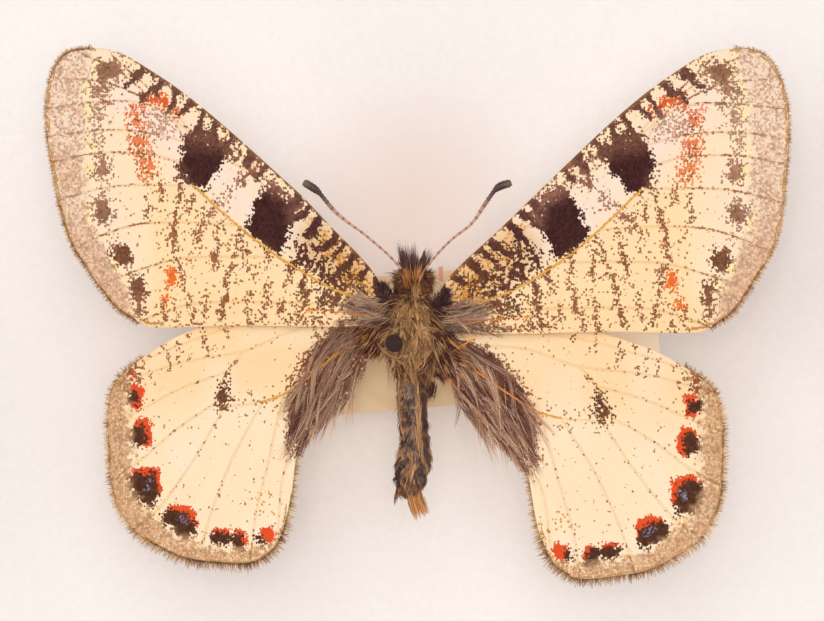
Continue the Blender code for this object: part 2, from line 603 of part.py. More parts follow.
def make_body():
    """Thorax, head, abdomen, eyes, feelers, mouthparts and legs."""
    draw = random.Random(HAIR_SEED)
    coat = material("olive_brown_hair", (0.16, 0.11, 0.06), 0.8)
    dark = material("slate_cuticle", (0.06, 0.05, 0.05), 0.45)
    eye_finish = material("dark_eye", (0.03, 0.02, 0.015), 0.2)

    legs = leg_paths()
    keep_out = [((*PIN_AT, 20.0), (*PIN_AT, 40.0), PIN_RADIUS + 0.05)]
    for path in legs.values():
        keep_out += [(a, b, LEG_RADIUS + 0.05) for a, b in zip(path, path[1:])]
    for name, path in legs.items():
        curve = smooth_path(path, 1.1)
        radii = [LEG_RADIUS * (1.05 - 0.25 * i / len(curve)) for i in range(len(curve))]
        tube(name, curve, radii, 6, finish=dark)

    thorax = superellipsoid("thorax", THORAX_AT, THORAX_HALF, 10, 16, finish=coat)
    combine(thorax, thorax_locks(draw, keep_out))
    hole = upright_tube("pin_way", PIN_AT, PIN_RADIUS + GAP, 20, 32)
    combine(thorax, [hole], "DIFFERENCE")

    head = superellipsoid("head", HEAD_AT, HEAD_HALF, 8, 14, finish=coat)
    neck_end = THORAX_AT[1] + THORAX_HALF[1] + GAP + 0.02
    neck = tube("neck", [(HEAD_AT[0], HEAD_AT[1], HEAD_AT[2]), (HEAD_AT[0], neck_end, HEAD_AT[2])],
                [NECK_RADIUS, NECK_RADIUS], 10)
    feelers = [(a, b, ANTENNA_RADIUS + 0.05) for route in antenna_routes().values() for a, b in zip(route, route[1:])]
    combine(head, [neck] + head_locks(draw, feelers))
    sockets = []
    for side, name in ((-1, "left"), (1, "right")):
        spot = (HEAD_AT[0] + side * EYE_SPREAD, HEAD_AT[1] + 0.1, HEAD_AT[2] + 0.05)
        eye_half = (EYE_RADIUS * 0.9, EYE_RADIUS, EYE_RADIUS * 1.1)
        superellipsoid("eye_" + name, spot, eye_half, 8, 12, 2.0, finish=eye_finish)
        sockets.append(superellipsoid("socket", spot, [h + GAP for h in eye_half], 8, 12, 2.0))
    combine(head, sockets, "DIFFERENCE")

    spine = smooth_path(ABDOMEN_SPINE, 0.62)
    radii = []
    for i in range(len(spine)):
        part = i / (len(spine) - 1) * (len(ABDOMEN_RADII) - 1)
        low = min(int(part), len(ABDOMEN_RADII) - 2)
        plain = ABDOMEN_RADII[low] + (ABDOMEN_RADII[low + 1] - ABDOMEN_RADII[low]) * (part - low)
        radii.append(plain * (1 + 0.035 * math.cos(2 * math.pi * ABDOMEN_RINGS * i / (len(spine) - 1))))
    abdomen = tube("abdomen", spine, radii, 12, flatten=0.85, finish=dark)
    combine(abdomen, abdomen_locks(draw))
    make_feelers(coat)


def make_wings():
    """Two forewings and two hindwings with their locks."""
    cream = material("cream_scales", (0.88, 0.70, 0.42), 0.75)
    draw = random.Random(HAIR_SEED + 1)
    for side, name in ((-1, "left"), (1, "right")):
        for kind, edge, veins in (("fore", FORE_EDGE, FORE_VEINS), ("hind", HIND_EDGE, HIND_VEINS)):
            plate = wing(f"{kind}wing_{name}", kind, edge, veins, side, cream)
            combine(plate, wing_locks(kind, side, draw))


def build():
    """Clears the scene and makes every piece."""
    for old in list(bpy.data.objects):
        bpy.data.objects.remove(old)
    make_stand()
    make_body()
    make_wings()
    for made in bpy.data.objects:
        made.data.shade_flat()


build()
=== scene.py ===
# %% [markdown]
# # A false apollo on its pin
#
# A museum butterfly: four thin wings spread level, a hairy body, long clubbed feelers, an enamelled pin and
# a tan card below, all standing in a slab of pale foam. The solids give every place and size. This lesson
# dresses them: thin veined wings with real scale patterns, one skin under a coat of hair, eyes and feelers.

# %% The frame
import math

import bpy
import numpy as np
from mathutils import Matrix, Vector
from mathutils.geometry import delaunay_2d_cdt


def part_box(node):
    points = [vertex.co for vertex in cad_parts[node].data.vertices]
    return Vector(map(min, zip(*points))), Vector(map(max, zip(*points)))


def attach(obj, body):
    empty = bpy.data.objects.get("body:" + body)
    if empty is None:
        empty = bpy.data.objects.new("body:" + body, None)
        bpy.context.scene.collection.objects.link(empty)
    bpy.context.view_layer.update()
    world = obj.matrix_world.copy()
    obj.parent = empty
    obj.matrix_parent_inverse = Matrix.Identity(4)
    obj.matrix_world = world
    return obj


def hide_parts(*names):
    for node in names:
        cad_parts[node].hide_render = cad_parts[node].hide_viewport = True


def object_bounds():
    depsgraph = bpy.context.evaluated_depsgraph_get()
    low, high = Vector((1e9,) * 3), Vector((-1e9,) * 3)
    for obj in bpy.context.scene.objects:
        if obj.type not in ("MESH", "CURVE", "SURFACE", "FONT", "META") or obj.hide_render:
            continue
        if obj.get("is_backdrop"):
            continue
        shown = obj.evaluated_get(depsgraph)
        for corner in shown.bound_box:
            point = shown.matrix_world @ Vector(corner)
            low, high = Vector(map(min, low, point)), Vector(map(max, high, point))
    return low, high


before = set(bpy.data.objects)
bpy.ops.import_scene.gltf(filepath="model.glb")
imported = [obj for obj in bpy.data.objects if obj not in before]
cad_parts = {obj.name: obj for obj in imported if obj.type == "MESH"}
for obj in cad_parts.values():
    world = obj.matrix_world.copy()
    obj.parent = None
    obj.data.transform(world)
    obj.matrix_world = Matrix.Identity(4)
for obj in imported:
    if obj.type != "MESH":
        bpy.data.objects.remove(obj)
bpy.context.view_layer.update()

MM = 0.001

# %% [markdown]
# ## Small tools
#
# Colours are written as screen hex values and turned to linear light once. A mesh could be built point by
# point, but whole numpy arrays are shorter and far quicker, so every piece here is an array of points and an
# array of faces, with its own colours as attributes on the points.

# %% Tools for colour, meshes and nodes


def linear(code):
    """Linear light of an sRGB hex value: below 0.04045 over 12.92, above it ((c + 0.055) / 1.055) ^ 2.4."""
    channel = np.array([int(code[i:i + 2], 16) / 255 for i in (1, 3, 5)])
    return np.where(channel <= 0.04045, channel / 12.92, ((channel + 0.055) / 1.055) ** 2.4)


def piece(name, points, faces, finish, attributes=(), smooth=True, uv=None):
    """A mesh object from points in millimetres and equal-sided faces, riding on the root body."""
    points, faces = np.asarray(points, float), np.asarray(faces, int)
    mesh = bpy.data.meshes.new(name)
    sides = faces.shape[1]
    mesh.vertices.add(len(points))
    mesh.vertices.foreach_set("co", (points * MM).astype(np.float32).ravel())
    mesh.loops.add(faces.size)
    mesh.loops.foreach_set("vertex_index", faces.astype(np.int32).ravel())
    mesh.polygons.add(len(faces))
    mesh.polygons.foreach_set("loop_start", np.arange(0, faces.size, sides, dtype=np.int32))
    mesh.polygons.foreach_set("use_smooth", np.full(len(faces), smooth))
    mesh.update(calc_edges=True)
    for title, values in attributes:
        values = np.asarray(values, float)
        if values.ndim == 1:
            mesh.attributes.new(title, "FLOAT",
                                "POINT").data.foreach_set("value", values.astype(np.float32))
        else:
            full = np.concatenate([values, np.ones((len(values), 1))], axis=1)
            mesh.attributes.new(title, "FLOAT_COLOR",
                                "POINT").data.foreach_set("color", full.astype(np.float32).ravel())
    if uv is not None:
        mesh.uv_layers.new(name="OFBake").data.foreach_set("uv",
                                                           uv[faces.ravel()].astype(np.float32).ravel())
    mesh.materials.append(finish)
    made = bpy.data.objects.new(name, mesh)
    bpy.context.scene.collection.objects.link(made)
    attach(made, "root")
    return made


def new_material(name, roughness, specular):
    """An empty finish: its node tree and its Principled shader."""
    made = bpy.data.materials.new(name)
    made.use_nodes = True
    shader = made.node_tree.nodes["Principled BSDF"]
    shader.inputs["Roughness"].default_value = roughness
    shader.inputs["Specular IOR Level"].default_value = specular
    return made, shader


def add(finish, kind, settings=(), **links):
    """Adds one node, sets its properties and its inputs: a socket is linked, anything else is a value."""
    node = finish.node_tree.nodes.new(kind)
    for key, value in dict(settings).items():
        setattr(node, key, value)
    for key, value in links.items():
        socket = node.inputs[int(key[2:]) if key.startswith("in") else key]
        if isinstance(value, bpy.types.NodeSocket):
            finish.node_tree.links.new(value, socket)
        else:
            socket.default_value = value
    return node


def paint(finish, shader, colour):
    """Links a colour socket, or sets a plain hex colour, on the shader's base."""
    if isinstance(colour, str):
        shader.inputs["Base Color"].default_value = (*linear(colour), 1.0)
    else:
        finish.node_tree.links.new(colour, shader.inputs["Base Color"])


def blend(finish, part, first, second):
    """Mixes two colours by a share from 0 to 1."""
    node = add(finish, "ShaderNodeMix", {"data_type": "RGBA"})
    for socket, value in ((node.inputs[0], part), (node.inputs[6], first), (node.inputs[7], second)):
        if isinstance(value, bpy.types.NodeSocket):
            finish.node_tree.links.new(value, socket)
        else:
            socket.default_value = value
    return node.outputs[2]


def object_place(finish):
    """A point's place on its own object, in metres."""
    return add(finish, "ShaderNodeTexCoord").outputs["Object"]


def own_field(finish, name, output="Color"):
    """The points' own field: a colour, or with the output Fac a plain number."""
    return add(finish, "ShaderNodeAttribute", {"attribute_name": name}).outputs[output]


def steps(finish, value, low, high, start=0.0, end=1.0):
    """Takes a value from the range low to high to the range start to end, held at its ends."""
    return add(finish, "ShaderNodeMapRange", in0=value, in1=low, in2=high, in3=start, in4=end).outputs[0]


def rough_up(finish, shader, height, strength, depth):
    """Tilts the surface's normal by the slope of a height field; depth is in metres."""
    dents = add(finish, "ShaderNodeBump", Height=height, Strength=strength, Distance=depth)
    finish.node_tree.links.new(dents.outputs[0], shader.inputs["Normal"])


def move_towards(colour, share, code):
    """Moves each point's colour by its share of the way to a hex colour: colour + share (goal - colour)."""
    colour += share[:, None] * (linear(code) - colour)


def ring_faces(rows, sides):
    """Triangles of a closed skin: rings of points, then the pole before the first and that after the last."""
    index = np.arange(rows * sides).reshape(rows, sides)
    after = np.roll(index, -1, axis=1)
    first, last = np.full(sides, rows * sides), np.full(sides, rows * sides + 1)
    quads = np.stack([index[:-1], index[1:], after[1:], after[:-1]], -1).reshape(-1, 4)
    return np.vstack([quads[:, [0, 1, 2]], quads[:, [0, 2, 3]], np.stack([first, index[0], after[0]], -1),
                      np.stack([index[-1], last, after[-1]], -1)])


# random numbers along a side of the noise's table; keeps its cells positive
LATTICE, LATTICE_START = 97, 500


def lattice_noise(points, size, seed):
    """A smooth random field from 0 to 1: random numbers on a square lattice, eased from one to the next."""
    table = np.random.default_rng(seed).random((LATTICE, LATTICE))
    spot = np.asarray(points)[:, :2] / size + LATTICE_START
    cell = np.floor(spot).astype(int)
    part = spot - cell
    part = part * part * (3 - 2 * part)
    i, j = cell[:, 0] % LATTICE, cell[:, 1] % LATTICE
    i_next, j_next = (i + 1) % LATTICE, (j + 1) % LATTICE
    low = table[i, j] * (1 - part[:, 0]) + table[i_next, j] * part[:, 0]
    high = table[i, j_next] * (1 - part[:, 0]) + table[i_next, j_next] * part[:, 0]
    return low * (1 - part[:, 1]) + high * part[:, 1]


def ease(value, low, high):
    """0 below low, 1 above high, and a smooth step between; low above high turns it round."""
    part = np.clip((value - low) / (high - low), 0, 1)
    return part * part * (3 - 2 * part)


def curve(knots, step):
    """Points about `step` apart on a Catmull-Rom curve through the knots."""
    knots = np.asarray(knots, float)
    ends = np.vstack([2 * knots[0] - knots[1], knots, 2 * knots[-1] - knots[-2]])
    runs = []
    for a, b, c, d in zip(ends, ends[1:], ends[2:], ends[3:]):
        count = max(1, round(float(np.linalg.norm(c - b)) / step))
        t = (np.arange(count) / count)[:, None]
        runs.append(0.5 * (2 * b + (c - a) * t + (2 * a - 5 * b + 4 * c - d) * t**2
                           + (3 * b - a - 3 * c + d) * t**3))
    return np.vstack(runs + [knots[-1:]])


def path_distance(points, path):
    """Distance of every point to the nearest stretch of a polyline."""
    path = np.asarray(path, float)
    nearest = np.full(len(points), 1e9)
    for a, b in zip(path, path[1:]):
        run = b - a
        part = np.clip(((points - a) @ run) / (run @ run), 0, 1)
        nearest = np.minimum(nearest, np.linalg.norm(points - a - part[:, None] * run, axis=1))
    return nearest


def depth_inside(points, loop):
    """Distance to a closed outline, positive inside it (even-odd rule) and negative outside."""
    loop = np.asarray(loop, float)
    closed = np.vstack([loop, loop[:1]])
    inside = np.zeros(len(points), bool)
    for a, b in zip(closed, closed[1:]):
        crosses = (a[1] > points[:, 1]) != (b[1] > points[:, 1])
        height = b[1] - a[1] if b[1] != a[1] else 1e-9
        inside ^= crosses & (points[:, 0] < (b[0] - a[0]) * (points[:, 1] - a[1]) / height + a[0])
    return np.where(inside, 1.0, -1.0) * path_distance(points, closed)


print("tools ready")

# %% [markdown]
# ## The foam base, the pin and the card
#
# The base is closed-cell foam: matt, pale, with pores far under a millimetre. The pin is steel with black
# enamel. The card is old rag board gone tan. Their solids have the right shape already, so they only get a
# finish, and the card gets one plain red rule as a thin strip of ink.

# %% Foam, enamel and card finishes
foam, shader = new_material("pale_closed_cell_foam", 0.9, 0.2)
place = object_place(foam)
# about 0.4 mm
pores = add(foam, "ShaderNodeTexNoise", Vector=place, Scale=2200.0, Detail=3.0).outputs["Fac"]
pale = blend(foam, steps(foam, pores, 0.3, 0.7), (*linear("#f2ebe8"), 1), (*linear("#f5efed"), 1))
# A painted pink shade in front of the insect, where the wings' shadow and warm bounced light fall: its middle
# lies 8.4 mm ahead, its radius is 10.5 mm
towards = add(foam, "ShaderNodeMapping", Vector=place, Location=(0.0, -0.8, 0.0), Scale=(95.0, 95.0, 0.0))
painted_shade = add(foam, "ShaderNodeTexGradient", {"gradient_type": "SPHERICAL"}, Vector=towards.outputs[0])
paint(foam, shader, blend(foam, painted_shade.outputs["Fac"], pale, (*linear("#ebd9d3"), 1)))
rough_up(foam, shader, pores, 0.05, 0.00003)

enamel, shader = new_material("black_enamelled_steel", 0.75, 0.1)
paint(enamel, shader, "#3a292a")

board, shader = new_material("aged_rag_board", 0.85, 0.2)
place = object_place(board)
# felted fibres about 1 mm long
fibre = add(board, "ShaderNodeTexNoise", Vector=place, Scale=900.0, Detail=5.0)
aged = blend(board, steps(board, fibre.outputs["Fac"], 0.3, 0.7), (*linear("#f8d8ae"), 1),
             (*linear("#fce4bf"), 1))
across = add(board, "ShaderNodeSeparateXYZ", Vector=place).outputs["X"]
painted_light_end = steps(board, across, 0.004, 0.014)   # painted light on the card's right end, from 4 to 14 mm off the middle
paint(board, shader, blend(board, painted_light_end, aged, (*linear("#fff3de"), 1)))

ink, shader = new_material("dull_red_ink", 0.7, 0.2)
paint(ink, shader, "#f6b0a2")

for node, finish in (("stand_base", foam), ("pin", enamel), ("label_card", board)):
    solid = bpy.data.objects[node]
    solid.data.materials.clear()
    solid.data.materials.append(finish)

CARD_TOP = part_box("label_card")[1][2] / MM
RULE_FROM, RULE_TO = (2.32, 2.3), (2.25, 3.45)   # the rule's ends on the card
HALF_RULE, INK_RISE, INK_DEPTH = 0.17, 0.012, 0.011
ends = np.array([[*RULE_FROM, CARD_TOP + INK_RISE], [*RULE_TO, CARD_TOP + INK_RISE]])
corners = np.vstack([ends - [HALF_RULE, 0, 0], ends + [HALF_RULE, 0, 0]])
strip = np.vstack([corners, corners - [0, 0, INK_DEPTH]])
faces = [(0, 2, 3, 1), (4, 5, 7, 6), (0, 4, 6, 2), (1, 3, 7, 5), (0, 1, 5, 4), (2, 6, 7, 3)]
rule = piece("card_rule", strip, faces, ink, smooth=False)
print("card top at", round(CARD_TOP, 2), "mm")

# %% [markdown]
# ## Where the wings lie
#
# A wing is a membrane far thinner than paper, stiffened by veins. The same outline and veins as in the
# solids are used, with a point about every tenth of a millimetre, because the pattern is carried by the
# points. A right wing is worked out once; the left one is the same wing mirrored and set a little
# differently, as the setter's hand left it.

# %% Outlines, veins and the wings' level
FORE_EDGE = [
    (0.6, 0.5), (2.0, 0.7), (2.3, 1.7), (2.9, 2.6), (4.1, 3.85), (7.1, 6.6), (14.1, 13.35), (17.7, 16.5),
    (20.5, 18.5), (22.7, 19.8), (24.7, 20.3), (26.7, 20.0), (28.0, 18.8), (28.8, 16.6), (29.1, 14.0),
    (28.9, 10.5), (28.5, 6.9), (27.8, 4.5), (26.5, 2.3), (24.8, -0.2), (22.9, -1.4), (21.2, -1.75),
    (15.0, -1.65), (9.0, -1.8), (4.6, -1.75), (3.0, -1.4), (0.6, -1.1),
]
HIND_EDGE = [
    (0.6, -1.8), (2.9, -1.6), (6.0, -0.9), (10.0, -1.0), (14.0, -1.6), (16.5, -2.3), (19.0, -3.2),
    (21.0, -4.15),
    (22.7, -5.3), (23.7, -6.6), (24.15, -9.0), (24.15, -12.5), (23.8, -15.2), (22.4, -17.6), (20.4, -19.1),
    (18.2, -20.2), (15.6, -20.7), (13.0, -20.9), (11.5, -20.3), (10.4, -19.2), (9.6, -16.8), (9.0, -13.0),
    (8.3, -11.7), (6.6, -9.9), (4.9, -8.5), (3.7, -6.9), (2.8, -5.2), (2.4, -4.2), (0.6, -3.6),
]
FORE_VEINS = [
    [(1.6, 1.2), (3.4, 2.2), (7.5, 5.8), (12.0, 10.1), (15.6, 13.4)],
    [(1.6, 0.5), (3.3, 0.9), (6.5, 4.2), (12.2, 9.5), (16.6, 12.7), (19.2, 14.9), (22.5, 18.1),
     (25.8, 19.7)],
    [(17.2, 13.3), (19.5, 15.9), (23.2, 19.5)],
    [(18.7, 14.4), (18.0, 12.7), (18.4, 11.1), (17.6, 9.4)],
    [(3.4, 0.1), (7.3, 1.35), (11.2, 3.6), (14.4, 6.2), (17.6, 9.3)],
    [(17.6, 9.3), (22.0, 9.4), (25.0, 9.15), (28.7, 8.2)],
    [(20.3, 15.7), (22.7, 17.0), (25.2, 17.6), (28.5, 17.8)],
    [(19.3, 14.95), (21.5, 15.85), (25.0, 15.85), (28.9, 15.4)],
    [(18.0, 12.7), (20.5, 13.4), (24.5, 13.7), (28.9, 13.2)],
    [(18.4, 11.1), (21.0, 11.8), (25.0, 11.9), (28.8, 11.2)],
    [(14.4, 6.2), (18.5, 6.45), (22.2, 6.35), (25.0, 5.6), (27.8, 4.4)],
    [(11.4, 3.7), (18.5, 3.7), (22.5, 2.8), (26.3, 1.4)],
    [(3.4, -0.4), (8.5, 0.05), (17.2, 0.2), (20.5, -0.4), (23.0, -1.3)],
]
HIND_VEINS = [
    [(3.4, -2.1), (8.0, -1.8), (13.0, -2.2), (19.2, -3.9), (22.2, -5.2)],
    [(3.4, -2.7), (8.5, -2.9), (12.9, -4.3), (18.0, -4.9), (23.4, -6.3)],
    [(12.9, -4.3), (14.4, -6.0), (15.0, -7.6), (14.6, -8.5)],
    [(14.2, -5.8), (18.0, -6.85), (21.5, -8.4), (24.1, -9.4)],
    [(15.0, -8.0), (18.5, -10.0), (21.2, -12.0), (24.1, -13.7)],
    [(2.6, -3.4), (4.0, -4.0), (5.6, -5.2), (7.0, -6.1), (9.5, -7.7), (11.5, -8.3), (14.6, -8.5)],
    [(14.6, -8.5), (17.0, -12.1), (19.8, -15.6), (22.3, -17.6)],
    [(11.5, -8.3), (14.2, -12.7), (16.1, -16.9), (17.2, -20.4)],
    [(9.9, -7.9), (11.2, -12.8), (12.4, -17.0), (13.0, -20.7)],
    [(3.0, -4.3), (5.4, -7.4), (9.7, -13.0), (10.7, -18.6)],
]
LEFT_SET = {
    "fore": np.array([[-0.959, -0.087, 0.894], [-0.010, 0.986, 0.603]]),
    "hind": np.array([[-0.957, -0.037, -0.818], [-0.060, 0.999, 1.957]]),
}
LEFT_ROOT_PULL, LEFT_ROOT_REACH = 1.0, 6.0
FORE_Z, WING_STEP, DIHEDRAL, MARGIN_LIFT, HALF_SPAN = 26.6, 1.1, 0.022, 0.5, 29.0
EDGES = {"fore": FORE_EDGE, "hind": HIND_EDGE}
VEINS = {"fore": FORE_VEINS, "hind": HIND_VEINS}


def set_wing(kind, side, flat):
    """Where points of the right wing lie on this side: as they are, or turned by the left wing's matrix."""
    flat = np.asarray(flat, float)
    if side > 0:
        return flat[:, :2].copy()
    rows = LEFT_SET[kind]
    placed = flat[:, :2] @ rows[:, :2].T + rows[:, 2]
    if kind == "fore":
        placed[:, 0] -= LEFT_ROOT_PULL * np.clip(1 - (flat[:, 0] - 2.9) / LEFT_ROOT_REACH, 0, 1.2)
    return placed


def wing_level(kind, placed):
    """Height of the membrane: it rises a little outwards, and more towards the margin (fourth power)."""
    reach = np.abs(placed[:, 0])
    lift = DIHEDRAL * reach + MARGIN_LIFT * (reach / HALF_SPAN) ** 4
    return FORE_Z + lift - (WING_STEP if kind == "hind" else 0)


def drawn_in(kind, rim):
    """The membrane's rim: the outline, moved inwards by up to 0.22 mm where a fringe makes up the rest."""
    heading = np.roll(rim, -1, axis=0) - np.roll(rim, 1, axis=0)
    heading /= np.linalg.norm(heading, axis=1, keepdims=True)
    inwards = np.column_stack([heading[:, 1], -heading[:, 0]])
    x, y = rim.T
    fringed = ease(x, 21.5, 25.0) if kind == "fore" else ease(x - 0.8 * y, 20.0, 26.0)
    return rim + 0.22 * fringed[:, None] * inwards


def sheet_of(kind, spacing):
    """A triangulated sheet: the smooth outline, and inner points on a grid with staggered rows."""
    rim = drawn_in(kind, curve(EDGES[kind] + EDGES[kind][:1], spacing)[:-1])
    low, high = rim.min(0), rim.max(0)
    across = np.arange(low[0], high[0], spacing)
    up = np.arange(low[1], high[1], spacing * 0.9)
    grid = np.stack(np.meshgrid(across, up), -1).reshape(-1, 2)
    grid[:, 0] += np.where(np.round((grid[:, 1] - low[1]) / (spacing * 0.9)) % 2 > 0, spacing / 2, 0)
    rough = rim[::6]
    grid = grid[depth_inside(grid, rough) > -0.5]
    grid = grid[depth_inside(grid, rim[::2]) > 0.6 * spacing]
    points = np.vstack([rim, grid])
    ring = list(range(len(rim)))
    flat, _, faces, _, _, _ = delaunay_2d_cdt([Vector(p) for p in points], [], [ring], 1, 1e-4)
    flat = np.array([tuple(p) for p in flat])
    faces = np.array(faces)
    first, second, third = flat[faces[:, 0]], flat[faces[:, 1]], flat[faces[:, 2]]
    twice = np.cross(second - first, third - first)
    faces[twice < 0] = faces[twice < 0][:, ::-1]
    return flat, faces


SPACING = 0.105   # between points of a wing, in mm
SHEETS = {kind: sheet_of(kind, SPACING) for kind in ("fore", "hind")}
for kind, (flat, faces) in SHEETS.items():
    print(kind, "wing:", len(flat), "points,", len(faces), "triangles a side")

# %% [markdown]
# ## The pattern of scales
#
# A butterfly's pattern is a mosaic: every scale has one plain colour, and a soft edge is only a mix of dark
# and pale scales. So the wings are not painted in blended colours. Each point carries a share of dark scales
# and a share of coloured ones, from shapes measured in millimetres, and the material then gives each small
# cell of 0.17 mm wholly to one or the other. Marks are patches (outlines) and strokes (paths with a width).

